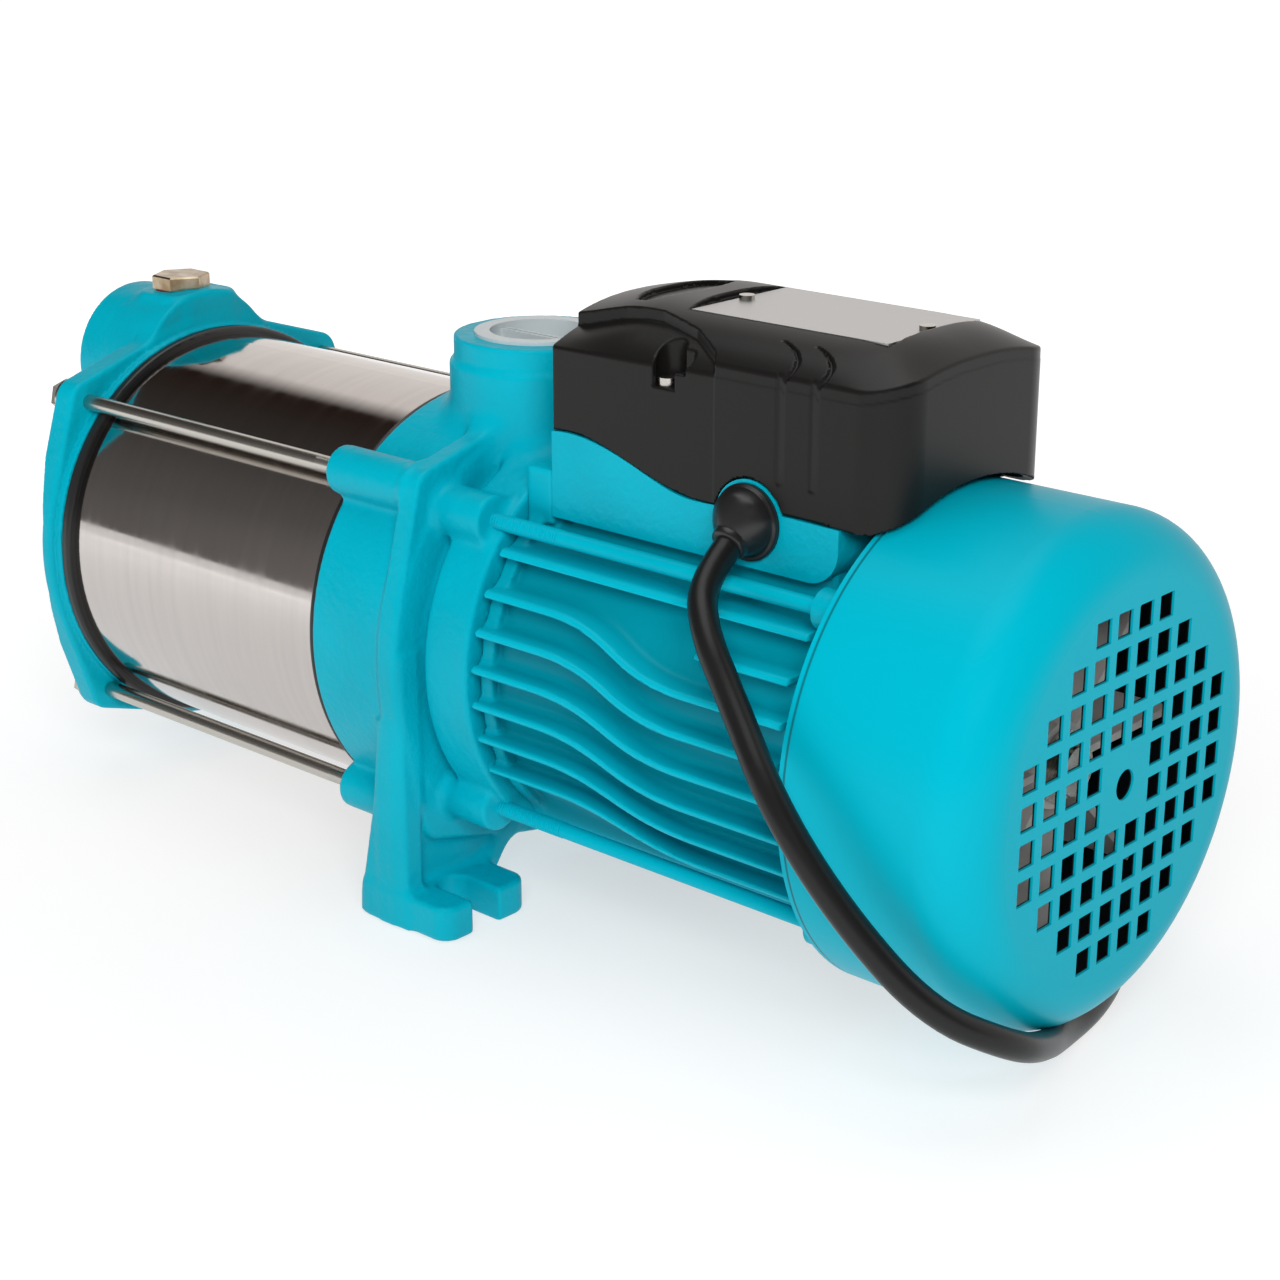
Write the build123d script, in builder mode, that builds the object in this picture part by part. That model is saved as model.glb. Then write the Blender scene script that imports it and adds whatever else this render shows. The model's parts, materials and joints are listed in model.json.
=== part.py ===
from build123d import *
import math
import os

# Surface water pump: a horizontal multistage pump in a stainless sleeve, on the shaft of a
# fan-cooled motor. Millimetres. X runs along the shaft from the pump head to the fan, Y is
# across and Z is up. The origin lies on the base plane, under the middle of the pump.
os.makedirs("parts", exist_ok=True)

# Clearances
press_gap = 0.02
running_gap = 0.3
seat_gap = 0.1
bolt_gap = 0.4

# Shaft line and feet
shaft_height = 82.5
foot_length = 38.0
foot_width = 35.5
foot_spacing = 101.0
foot_thickness = 11.0
foot_slot_width = 11.0
foot_slot_depth = 19.0
leg_half_width = 67.5
leg_flange = 7.5
leg_web = 8.0
web_setback = 2.0
leg_top_x = -14.0
leg_top_drop = 12.0
leg_knee_x = -15.0
leg_knee_drop = 40.0
leg_foot_rise = 14.0
web_top_drop = 18.0
web_knee_y = 20.0
web_knee_drop = 40.0
arch_half_width = 12.0
arch_drop = 54.0
arch_foot_y = 33.0
arch_flange = 7.0
foot_corner = 4.0

# Stainless sleeve and its two seals
sleeve_start = -157.6
sleeve_length = 120.6
sleeve_radius = 65.6
sleeve_wall = 1.0
head_gasket_thickness = 4.0
head_gasket_radius = 68.3
bracket_gasket_thickness = 1.0
gasket_width = 7.0

# Tie bolts
tie_bolt_offset = 50.6
tie_bolt_radius = 2.65
tie_bolt_head = 10.0
tie_bolt_head_height = 4.0
tie_washer_radius = 6.2
tie_washer_thickness = 1.2
tie_bolt_engagement = 16.0

# Pump head
head_flange_radius = 72.0
head_lug_radius = 9.5
head_lug_thickness = 12.0
head_land = 2.4
dome_depth = 10.0
dome_radius = 48.0
head_wall = 10.0
port_boss_radius = 25.6
port_thread_radius = 15.145
port_thread_length = 16.0
passage_radius = 13.0
inlet_rise = 53.0
inlet_reach = 28.0
filler_offset = 1.0
filler_pad_height = 7.0
filler_pad_radius = 13.5
drain_drop = 46.0
drain_boss_radius = 10.0
drain_boss_length = 6.0
plug_thread_radius = 6.3
plug_thread_length = 9.5
plug_hex = 17.0
plug_hex_height = 4.6
plug_washer_radius = 8.8
plug_washer_thickness = 1.2

# Stages inside the sleeve
stage_count = 4
stage_pitch = 25.0
stage_start = -147.0
stage_wall = 2.0
impeller_radius = 50.0
impeller_width = 12.0
impeller_eye_radius = 17.0
impeller_plate = 2.0
impeller_hub_radius = 11.0
impeller_lead = 4.0
impeller_nut_length = 6.9
impeller_nut_width = 20.0
vane_count = 6
vane_thickness = 2.0
vane_angle = -40.0
return_vane_height = 5.0
return_vane_angle = 35.0
return_vane_gap = 6.0
stage_hub_gap = 1.0
stage_ring_wall = 6.0
stage_ring_rim = 2.0
ring_port_count = 8
ring_port_length = 20.0
ring_port_width = 16.0

# Bracket between the pump and the motor
casing_radius = 68.0
casing_wall = 8.0
plate_back = 1.4
plate_thickness = 12.4
plate_radius = 69.2
bracket_lug_radius = 7.5
wall_front = -14.0
neck_radius = 57.0
drum_start = 6.5
drum_radius = 62.0
drum_wall = 7.0
seal_hub_radius = 21.0
seal_hub_wall = 5.0
seal_hub_setback = 8.0
seal_seat_length = 7.0
seal_seat_width = 5.0
seal_head_length = 16.0
seal_head_width = 4.0
seal_band_width = 2.0
seal_band_length = 4.0
shaft_hole_gap = 1.5
slinger_room = 8.0
slinger_width = 6.5
slinger_sheet = 1.5
slinger_collar = 1.2
slinger_collar_length = 2.0
bearing_hub_radius = 30.0
outlet_x = -5.0
outlet_rise = 88.7
outlet_cast_radius = 27.4
outlet_machined = 7.0
plug_seat_radius = 16.7
plug_seat_depth = 10.0
outlet_thread_length = 14.0
outlet_throat_drop = 14.0
outlet_throat_radius = 8.0
plug_rim = 1.0
plug_wall = 1.6
plug_rim_radius = 19.4
plug_rib = 0.8
plug_rib_pitch = 2.2
plug_rib_drop = 0.6

# Motor frame
motor_face = 24.0
frame_length = 115.0
frame_bore = 51.5
frame_wall = 3.2
flange_ring_radius = 57.6
flange_ring = 5.5
fin_radius = 62.2
bottom_fin_radius = 59.5
fin_pitch = 10.8
fin_thickness = 2.2
fin_top = 37.4
fin_rows = 7
wave_start = 50.0
wave_end = 105.0
stud_offset = 44.5
stud_radius = 2.5
stud_boss_radius = 7.5
stud_boss_end = 20.0
stud_start = 6.0
stud_nut = 8.0
stud_nut_height = 4.0
pad_rise = 56.0
pad_half_width = 32.0
bottom_fins = 8
bottom_fin_pitch = 10.0
pad_start = 38.6
pad_end = 133.4
pad_depth = 14.0
lead_hole_x = 128.0
lead_hole_radius = 4.0
base_screw_left = 46.0
base_screw_right = 118.0
base_screw_radius = 2.0
tab_rise = 60.0
tab_foot = 44.0
tab_half_width = 36.0
tab_length = 10.5

# Shaft, bearings, rotor and stator
shaft_start = -153.0
shaft_end = 190.0
pump_shaft_radius = 7.0
seal_shaft_radius = 9.0
rotor_shaft_radius = 11.0
front_bearing_start = 5.0
front_bearing_width = 14.0
front_bearing_bore = 10.0
front_bearing_outer = 23.5
front_ball_radius = 3.6
rear_bearing_start = 127.0
rear_bearing_width = 12.0
rear_bearing_bore = 8.5
rear_bearing_outer = 20.0
rear_ball_radius = 3.0
ball_count = 7
ring_cover = 0.55
fan_shaft_radius = 7.0
core_start = 42.0
core_length = 80.0
air_gap = 0.4
rotor_radius = 30.0
rotor_ring = 3.0
rotor_ring_width = 11.0
winding_gap = 4.0
winding_round = 3.0
winding_length = 11.0
shield_thickness = 6.0
shield_radius = 60.0
shield_lug_radius = 5.6
shield_hub_radius = 24.0
spigot_length = 3.0
spigot_wall = 6.0
shield_hub_lead = 1.0
wave_gap = 1.0
wave_washer_width = 5.0
stud_tip = 2.0

# Fan and fan cover
cover_rim = 145.8
cover_end = 204.0
fan_cover_radius = 70.7
fan_cover_wall = 1.2
fan_cover_round = 16.0
grille_pitch = 10.0
grille_hole = 6.8
grille_rows = 10
grille_reach = 6.0
grille_centre_radius = 4.2
fan_start = 157.0
fan_width = 27.0
fan_radius = 56.0
fan_hub_radius = 12.0
fan_blades = 8
fan_blade_thickness = 2.2
fan_blade_start = 9.0
fan_plate = 2.4
fan_plate_gap = 3.0
fan_clip_sheet = 1.0
fan_clip_width = 3.0
cover_block = 13.0
cover_screw_x = 149.5
cover_screw_radius = 2.0
cover_screw_length = 9.0
cover_screw_head = 1.2

# Terminal box
box_start = 35.0
base_end = 137.0
box_end = 154.0
box_half_width = 36.5
base_skirt_rise = 47.0
base_wall = 3.2
base_floor = 2.5
base_corner = 10.0
lip_gap = 0.3
lip_points = (
    (35.0, 72.3),
    (53.6, 71.2),
    (68.5, 66.7),
    (83.0, 62.4),
    (97.0, 62.3),
    (118.0, 63.5),
    (137.0, 63.3),
    (154.0, 65.0),
)
box_side_rise = 98.0
box_shoulder_rise = 109.0
box_shoulder = 23.0
box_top_rise = 110.8
box_nose_rise = 105.0
box_nose_length = 17.0
box_nose_fullness = 0.55
box_nose_ease = 2.0
box_wall = 3.0
box_corner = 9.0
box_arch_gap = 1.8
box_screw_x = 75.0
box_screw_y = 32.0
box_screw_rise = 91.0
box_screw_radius = 1.8
box_screw_head = 3.2
box_post_radius = 4.4
box_post_top = 63.0
box_tube_rise = 67.5
box_thread_depth = 5.0
box_screw_head_height = 2.2
box_tube_flange = 2.4
box_tube_flange_sheet = 3.0
box_partition = 2.0
block_x = 84.0
block_y = -18.0
block_length = 40.0
block_width = 14.0
block_height = 12.0
block_pitch = 13.0
block_screw_radius = 2.0
block_screw_length = 5.0
block_screw_flange = 1.5
block_screw_head = 1.6
capacitor_start = 48.0
capacitor_length = 62.0
capacitor_radius = 14.0
capacitor_y = 12.0
plate_length = 66.0
plate_width = 41.0
plate_x = 106.0
plate_sheet = 0.6
plate_rise = 109.5
plate_screw_pitch = 61.0
plate_recess_gap = 0.3
plate_recess_depth = 3.0
plate_screw_radius = 1.2
plate_screw_length = 3.4
plate_screw_head = 2.2
plate_screw_head_height = 1.3
gland_x = 107.0
gland_rise = 59.6
gland_radius = 10.0
gland_dome = 9.5
gland_length = 13.0
gland_sleeve_start = 4.0
gland_sleeve_radius = 6.9
gland_taper = 7.0
gland_hole_radius = 6.5
gland_collar = 1.5
gland_lip = 1.0

# Power cord, its coil and the mains plug. The route is a list of points along the cord:
# station, distance across and rise above the shaft.
cord_radius = 4.0
cord_floor = cord_radius - shaft_height
cord_route = (
    (107.0, -38.2, 58.6),
    (107.0, -55.5, 48.6),
    (119.5, -69.0, 40.0),
    (133.4, -73.9, 25.9),
    (156.3, -85.1, 6.8),
    (174.9, -81.2, -17.6),
    (194.7, -71.0, -41.6),
    (205.6, -46.2, -58.3),
    (210.0, -9.5, -60.0),
    (194.5, 17.5, cord_floor),
    (176.0, 52.0, cord_floor),
    (150.0, 74.0, cord_floor),
    (116.0, 82.0, cord_floor),
    (82.0, 82.0, cord_floor),
)
cord_bend_share = 0.45
coil_x = 70.0
coil_y = 130.0
coil_mean_radius = 44.0
coil_section = 16.0
plug_axis_x = 22.0
relief_start = 152.0
relief_end = 178.0
relief_start_radius = 4.6
relief_end_radius = 8.5
plug_radius = 18.0
plug_shoulder = 192.0
plug_face = 210.0
pin_radius = 2.4
pin_length = 19.0
pin_pitch = 19.0

# Placing helpers
shaft_axis = Axis((0, 0, shaft_height), (1, 0, 0))
side_plane = Plane(origin=(0, 0, shaft_height), x_dir=(1, 0, 0), z_dir=(0, -1, 0))


def across(x):
    """The plane square to the shaft at station x, with its origin on the shaft axis."""
    return Plane(origin=(x, 0, shaft_height), x_dir=(0, 1, 0), z_dir=(1, 0, 0))


def level(rise):
    """The horizontal plane at a height above the shaft axis."""
    return Plane.XY.offset(shaft_height + rise)


def band(x_from, x_to, r_from, r_to, mode=Mode.ADD):
    """A rectangle between two stations and two radii, to be revolved about the shaft."""
    with Locations(((x_from + x_to) / 2, (r_from + r_to) / 2)):
        Rectangle(x_to - x_from, r_to - r_from, mode=mode)


# Derived stations
sleeve_end = sleeve_start + sleeve_length
head_front = sleeve_start - head_gasket_thickness
head_lug_face = head_front - head_land
head_back = head_lug_face - head_lug_thickness
dome_back = head_back - dome_depth
inlet_face = head_back - inlet_reach
cavity_back = dome_back + head_wall
cavity_radius = sleeve_radius - sleeve_wall - gasket_width + 1.0
filler_x = head_back - filler_offset
filler_rise = head_flange_radius + filler_pad_height
casing_start = sleeve_end + bracket_gasket_thickness
plate_front = plate_back - plate_thickness
chamber_radius = casing_radius - casing_wall
lug_face = sleeve_end - 1.0
frame_end = motor_face + frame_length
barrel_radius = frame_bore + frame_wall
seal_seat_end = wall_front + seal_seat_length
core_end = core_start + core_length
shield_back = frame_end + shield_thickness
stages_end = stage_start + stage_count * stage_pitch
nose_start = box_end - box_nose_length
box_arch_radius = fan_cover_radius + box_arch_gap
grille_half_rows = (grille_rows - 1) / 2
gland_collar_radius = gland_radius + gland_collar

# Pump head: cast iron, with a round land for the sleeve seal, four tie-bolt lugs, a domed
# back, the suction port boss above the shaft line and a pad for the filler plug on top.
with BuildPart() as pump_head:
    with BuildSketch(across(head_back)):
        Circle(head_flange_radius)
        with GridLocations(2 * tie_bolt_offset, 2 * tie_bolt_offset, 2, 2):
            Circle(head_lug_radius)
        make_hull()
    extrude(amount=head_lug_thickness)
    fillet(pump_head.faces().sort_by(Axis.X)[0].edges(), radius=2.5)
    with BuildSketch(side_plane):
        with BuildLine():
            Polyline(
                (head_front, 0),
                (head_front, head_gasket_radius),
                (head_back, head_gasket_radius),
                (dome_back, dome_radius),
                (dome_back, 0),
                close=True,
            )
        make_face()
    revolve(axis=shaft_axis)
    with BuildSketch(across(inlet_face)):
        with Locations((0, inlet_rise)):
            Circle(port_boss_radius)
    extrude(amount=head_back - inlet_face + 3)
    with BuildSketch(across(dome_back - 4)):
        with Locations((0, inlet_rise - 2)):
            Circle(port_boss_radius - 2.5)
    extrude(amount=head_lug_face - dome_back + 4)
    with BuildSketch(level(filler_rise)):
        with Locations((filler_x, 0)):
            Circle(filler_pad_radius)
    extrude(amount=inlet_rise - filler_rise)
    with BuildSketch(across(dome_back - drain_boss_length)):
        with Locations((0, -drain_drop)):
            Circle(drain_boss_radius)
    extrude(amount=drain_boss_length + head_wall)
    with BuildSketch(side_plane):
        band(cavity_back, head_front, 0, cavity_radius)
    revolve(axis=shaft_axis, mode=Mode.SUBTRACT)
    with BuildSketch(across(inlet_face)):
        with Locations((0, inlet_rise)):
            Circle(port_thread_radius)
    extrude(amount=port_thread_length, mode=Mode.SUBTRACT)
    with BuildSketch(across(inlet_face + port_thread_length)):
        with Locations((0, inlet_rise)):
            Circle(passage_radius)
    extrude(amount=cavity_back - inlet_face - port_thread_length + 2, mode=Mode.SUBTRACT)
    with BuildSketch(level(filler_rise)):
        with Locations((filler_x, 0)):
            Circle(plug_thread_radius + seat_gap)
    extrude(amount=inlet_rise - filler_rise, mode=Mode.SUBTRACT)
    with BuildSketch(across(dome_back - drain_boss_length)):
        with Locations((0, -drain_drop)):
            Circle(plug_thread_radius + seat_gap)
    extrude(amount=drain_boss_length + head_wall + 1, mode=Mode.SUBTRACT)
    with BuildSketch(across(head_back - 1)):
        with GridLocations(2 * tie_bolt_offset, 2 * tie_bolt_offset, 2, 2):
            Circle(tie_bolt_radius + bolt_gap)
    extrude(amount=head_front - head_back + 2, mode=Mode.SUBTRACT)
    with BuildSketch(across(head_back)):
        with GridLocations(2 * tie_bolt_offset, 2 * tie_bolt_offset, 2, 2):
            Circle(tie_washer_radius + bolt_gap)
    extrude(amount=-dome_depth, mode=Mode.SUBTRACT)
pump_head.part.label = "pump_head"
export_step(pump_head.part, "parts/pump_head.step")

# Head seal: a thick rubber ring squeezed between the head and the end of the sleeve.
with BuildPart() as head_gasket:
    with BuildSketch(side_plane):
        band(head_front, sleeve_start, head_gasket_radius - gasket_width, head_gasket_radius)
        fillet(vertices().sort_by(Axis.Y)[-2:], radius=1.4)
    revolve(axis=shaft_axis)
head_gasket.part.label = "head_gasket"
export_step(head_gasket.part, "parts/head_gasket.step")

# Sleeve: a drawn tube of polished stainless steel that holds the stages.
with BuildPart() as pump_sleeve:
    with BuildSketch(side_plane):
        band(sleeve_start, sleeve_end, sleeve_radius - sleeve_wall, sleeve_radius)
    revolve(axis=shaft_axis)
pump_sleeve.part.label = "pump_sleeve"
export_step(pump_sleeve.part, "parts/pump_sleeve.step")

# Bracket seal: a thin rubber ring between the sleeve and the bracket.
with BuildPart() as bracket_gasket:
    with BuildSketch(side_plane):
        band(sleeve_end, casing_start, sleeve_radius + 1.0 - gasket_width, sleeve_radius + 1.0)
    revolve(axis=shaft_axis)
bracket_gasket.part.label = "bracket_gasket"
export_step(bracket_gasket.part, "parts/bracket_gasket.step")

# Tie bolts: four long hex bolts that clamp head, sleeve and bracket together.
bolt_seat = head_back - tie_washer_thickness
with BuildPart() as tie_bolts:
    with BuildSketch(across(head_back)):
        with GridLocations(2 * tie_bolt_offset, 2 * tie_bolt_offset, 2, 2):
            Circle(tie_bolt_radius)
    extrude(amount=lug_face + tie_bolt_engagement - head_back)
    with BuildSketch(across(bolt_seat)):
        with GridLocations(2 * tie_bolt_offset, 2 * tie_bolt_offset, 2, 2):
            Circle(tie_washer_radius)
    extrude(amount=tie_washer_thickness)
    with BuildSketch(across(bolt_seat - tie_bolt_head_height)):
        with GridLocations(2 * tie_bolt_offset, 2 * tie_bolt_offset, 2, 2):
            RegularPolygon(tie_bolt_head / 2, 6, major_radius=False)
    extrude(amount=tie_bolt_head_height)
tie_bolts.part.label = "tie_bolts"
export_step(tie_bolts.part, "parts/tie_bolts.step")

# Filler plug: a brass hex plug that screws down into the head, with a sealing washer.
filler_seat = filler_rise + plug_washer_thickness
with BuildPart() as filler_plug_washer:
    with BuildSketch(level(filler_rise)):
        with Locations((filler_x, 0)):
            Circle(plug_washer_radius)
            Circle(plug_thread_radius + seat_gap, mode=Mode.SUBTRACT)
    extrude(amount=plug_washer_thickness)
filler_plug_washer.part.label = "filler_plug_washer"
export_step(filler_plug_washer.part, "parts/filler_plug_washer.step")

with BuildPart() as filler_plug:
    with BuildSketch(level(filler_seat)):
        with Locations((filler_x, 0)):
            RegularPolygon(plug_hex / 2, 6, major_radius=False)
    extrude(amount=plug_hex_height)
    chamfer(filler_plug.faces().sort_by(Axis.Z)[-1].edges(), length=0.5)
    with BuildSketch(level(filler_seat)):
        with Locations((filler_x, 0)):
            Circle(plug_thread_radius)
    extrude(amount=-plug_thread_length)
filler_plug.part.label = "filler_plug"
export_step(filler_plug.part, "parts/filler_plug.step")

# Drain plug: the same plug at the bottom of the head, screwed in from its end.
drain_face = dome_back - drain_boss_length
drain_seat = drain_face - plug_washer_thickness
with BuildPart() as drain_plug_washer:
    with BuildSketch(across(drain_seat)):
        with Locations((0, -drain_drop)):
            Circle(plug_washer_radius)
            Circle(plug_thread_radius + seat_gap, mode=Mode.SUBTRACT)
    extrude(amount=plug_washer_thickness)
drain_plug_washer.part.label = "drain_plug_washer"
export_step(drain_plug_washer.part, "parts/drain_plug_washer.step")

with BuildPart() as drain_plug:
    with BuildSketch(across(drain_seat)):
        with Locations((0, -drain_drop)):
            RegularPolygon(plug_hex / 2, 6, major_radius=False)
    extrude(amount=-plug_hex_height)
    chamfer(drain_plug.faces().sort_by(Axis.X)[0].edges(), length=0.5)
    with BuildSketch(across(drain_seat)):
        with Locations((0, -drain_drop)):
            Circle(plug_thread_radius)
    extrude(amount=plug_thread_length)
drain_plug.part.label = "drain_plug"
export_step(drain_plug.part, "parts/drain_plug.step")

# Diffusers: one cup of moulded plastic for each stage, stacked inside the sleeve.
diffuser_radius = sleeve_radius - sleeve_wall - running_gap
return_vane_length = diffuser_radius - impeller_eye_radius - return_vane_gap
for stage in range(stage_count):
    cup_start = stage_start + stage * stage_pitch
    cup_end = cup_start + stage_pitch
    with BuildPart() as diffuser:
        with BuildSketch(side_plane):
            band(cup_start, cup_end, diffuser_radius - stage_wall, diffuser_radius)
            band(cup_end - stage_wall, cup_end, impeller_hub_radius + stage_hub_gap, diffuser_radius)
        revolve(axis=shaft_axis)
        with BuildSketch(across(cup_end - stage_wall - return_vane_height)):
            with PolarLocations((impeller_eye_radius + diffuser_radius) / 2, vane_count):
                Rectangle(return_vane_length, vane_thickness, rotation=return_vane_angle)
        extrude(amount=return_vane_height)
    diffuser.part.label = f"diffuser_{stage + 1}"
    export_step(diffuser.part, f"parts/diffuser_{stage + 1}.step")

# Impellers: a back plate, swept-back vanes and a front plate with the eye, on a long hub
# that also spaces it from the next one along the shaft.
for stage in range(stage_count):
    wheel_start = stage_start + stage * stage_pitch + impeller_lead
    with BuildPart() as impeller:
        with BuildSketch(side_plane):
            band(wheel_start, wheel_start + impeller_plate, impeller_eye_radius, impeller_radius)
            band(
                wheel_start + impeller_width - impeller_plate,
                wheel_start + impeller_width,
                pump_shaft_radius + press_gap,
                impeller_radius,
            )
            band(
                wheel_start,
                wheel_start + stage_pitch,
                pump_shaft_radius + press_gap,
                impeller_hub_radius,
            )
        revolve(axis=shaft_axis)
        with BuildSketch(across(wheel_start + impeller_plate)):
            with PolarLocations((impeller_eye_radius + impeller_radius) / 2, vane_count):
                Rectangle(impeller_radius - impeller_eye_radius, vane_thickness, rotation=vane_angle)
            Circle(impeller_radius, mode=Mode.INTERSECT)
        extrude(amount=impeller_width - 2 * impeller_plate)
    impeller.part.label = f"impeller_{stage + 1}"
    export_step(impeller.part, f"parts/impeller_{stage + 1}.step")

# Impeller nut: locks the four impellers against the shoulder of the shaft.
nut_start = stage_start + impeller_lead - impeller_nut_length - seat_gap
with BuildPart() as impeller_nut:
    with BuildSketch(across(nut_start)):
        RegularPolygon(impeller_nut_width / 2, 6, major_radius=False)
        Circle(pump_shaft_radius + press_gap, mode=Mode.SUBTRACT)
    extrude(amount=impeller_nut_length)
impeller_nut.part.label = "impeller_nut"
export_step(impeller_nut.part, "parts/impeller_nut.step")

# Stage support rings: they clamp the stack of diffusers between the head and the bracket.
with BuildPart() as stage_ring:
    with BuildSketch(side_plane):
        band(cavity_back, stage_start, cavity_radius - stage_ring_wall, cavity_radius - seat_gap)
        band(sleeve_start, stage_start, cavity_radius - stage_ring_wall, diffuser_radius)
    revolve(axis=shaft_axis)
    with BuildSketch(across(cavity_back)):
        with PolarLocations(cavity_radius - stage_ring_wall / 2, ring_port_count):
            Rectangle(ring_port_length, ring_port_width)
    extrude(amount=head_front - cavity_back - stage_ring_rim, mode=Mode.SUBTRACT)
stage_ring.part.label = "stage_ring"
export_step(stage_ring.part, "parts/stage_ring.step")

# Outlet ring: holds the last diffuser off the bracket, so that the water can turn outwards.
with BuildPart() as outlet_ring:
    with BuildSketch(side_plane):
        band(stages_end, sleeve_end, chamber_radius, diffuser_radius)
    revolve(axis=shaft_axis)
outlet_ring.part.label = "outlet_ring"
export_step(outlet_ring.part, "parts/outlet_ring.step")

# Bracket: cast iron. It is the delivery casing, the web plate with the lugs, the seal and
# bearing housing, the drum that the motor frame seats on, the outlet boss and both legs.
slot_centre_x = foot_length / 2 - foot_slot_depth + foot_slot_width / 2
web_x = -foot_length / 2 + web_setback
foot_y = leg_half_width - foot_width / 2
with BuildPart() as bracket:
    with BuildSketch(side_plane):
        band(casing_start, plate_back, 0, casing_radius)
        band(plate_back, drum_start, 0, neck_radius)
        band(drum_start, motor_face, 0, drum_radius)
    revolve(axis=shaft_axis)
    with BuildSketch(across(plate_front)):
        Circle(plate_radius)
        with GridLocations(2 * tie_bolt_offset, 2 * tie_bolt_offset, 2, 2):
            Circle(bracket_lug_radius)
        make_hull()
    extrude(amount=plate_thickness)
    with BuildSketch(across(lug_face)):
        with GridLocations(2 * tie_bolt_offset, 2 * tie_bolt_offset, 2, 2):
            Circle(bracket_lug_radius)
    extrude(amount=plate_front - lug_face)
    with BuildSketch(across(plate_back)):
        with GridLocations(2 * stud_offset, 2 * stud_offset, 2, 2):
            Circle(stud_boss_radius)
    extrude(amount=stud_boss_end - plate_back)
    # Outlet boss, machined at its rim
    with BuildSketch(level(outlet_rise)):
        with Locations((outlet_x, 0)):
            Circle(port_boss_radius)
    extrude(amount=-outlet_machined - 2)
    with BuildSketch(level(outlet_rise - outlet_machined)):
        with Locations((outlet_x, 0)):
            Circle(outlet_cast_radius)
    extrude(amount=neck_radius - outlet_rise)
    # Legs: a web, an upright outer flange and a slanted inner flange
    for side in (-1, 1):
        with BuildSketch(across(web_x)):
            with BuildLine():
                Polyline(
                    (side * leg_half_width, -shaft_height),
                    (side * leg_half_width, -web_top_drop),
                    (side * web_knee_y, -web_knee_drop),
                    (side * arch_half_width, -arch_drop),
                    (side * arch_foot_y, -shaft_height),
                    close=True,
                )
            make_face()
        extrude(amount=leg_web)
        with BuildSketch(side_plane.offset(side * leg_half_width)):
            with BuildLine():
                Polyline(
                    (leg_top_x, -leg_top_drop),
                    (plate_back, -leg_top_drop),
                    (plate_back, -shaft_height),
                    (-foot_length / 2, -shaft_height),
                    (-foot_length / 2, leg_foot_rise - shaft_height),
                    (leg_knee_x, -leg_knee_drop),
                    close=True,
                )
            make_face()
        extrude(amount=-side * leg_flange)
        with BuildSketch(across(web_x)):
            with BuildLine():
                Polyline(
                    (side * arch_half_width, -arch_drop),
                    (side * arch_foot_y, -shaft_height),
                    (side * (arch_foot_y + arch_flange), -shaft_height),
                    (side * (arch_half_width + arch_flange), -arch_drop),
                    close=True,
                )
            make_face()
        extrude(amount=-web_x)
    # Feet, each with a slot that is open towards the motor
    with BuildSketch(Plane.XY):
        with Locations((0, -foot_y), (0, foot_y)):
            RectangleRounded(foot_length, foot_width, radius=foot_corner)
    extrude(amount=foot_thickness)
    with BuildSketch(Plane.XY):
        with Locations((slot_centre_x, foot_spacing / 2), (slot_centre_x, -foot_spacing / 2)):
            Circle(foot_slot_width / 2)
        with Locations(
            (slot_centre_x + foot_length / 2, foot_spacing / 2),
            (slot_centre_x + foot_length / 2, -foot_spacing / 2),
        ):
            Rectangle(foot_length, foot_slot_width)
    extrude(amount=foot_thickness + 1, mode=Mode.SUBTRACT)
    # Delivery chamber around the seal hub, and the open space on the motor side
    with BuildSketch(side_plane):
        band(casing_start, wall_front, seal_hub_radius, chamber_radius)
        band(casing_start, casing_start + seal_hub_setback, 0, seal_hub_radius)
        band(drum_start, motor_face, bearing_hub_radius, drum_radius - drum_wall)
        band(front_bearing_start + front_bearing_width, motor_face, 0, bearing_hub_radius)
    revolve(axis=shaft_axis, mode=Mode.SUBTRACT)
    # Shaft line: seal seat, shaft hole, slinger gap and bearing pocket
    with BuildSketch(side_plane):
        band(casing_start, wall_front, 0, seal_hub_radius - seal_hub_wall)
        band(wall_front, seal_seat_end, 0, seal_shaft_radius + seal_seat_width)
        band(seal_seat_end, front_bearing_start, 0, seal_shaft_radius + shaft_hole_gap)
        band(
            seal_seat_end + shaft_hole_gap,
            front_bearing_start - 2 * shaft_hole_gap,
            0,
            seal_shaft_radius + slinger_room,
        )
        band(
            front_bearing_start,
            front_bearing_start + front_bearing_width,
            0,
            front_bearing_outer + press_gap,
        )
    revolve(axis=shaft_axis, mode=Mode.SUBTRACT)
    # Outlet: a smooth seat at the mouth, the thread below it and a passage to the chamber
    with BuildSketch(level(outlet_rise)):
        with Locations((outlet_x, 0)):
            Circle(plug_seat_radius)
    extrude(amount=-plug_seat_depth, mode=Mode.SUBTRACT)
    with BuildSketch(level(outlet_rise - plug_seat_depth)):
        with Locations((outlet_x, 0)):
            Circle(port_thread_radius)
    extrude(amount=-outlet_thread_length, mode=Mode.SUBTRACT)
    with BuildSketch(level(outlet_rise - plug_seat_depth - outlet_thread_length)):
        with Locations((outlet_x, 0)):
            Circle(passage_radius)
    with BuildSketch(level(chamber_radius - outlet_throat_drop)):
        with Locations(((casing_start + wall_front) / 2, 0)):
            Circle(outlet_throat_radius)
    loft(mode=Mode.SUBTRACT)
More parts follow.
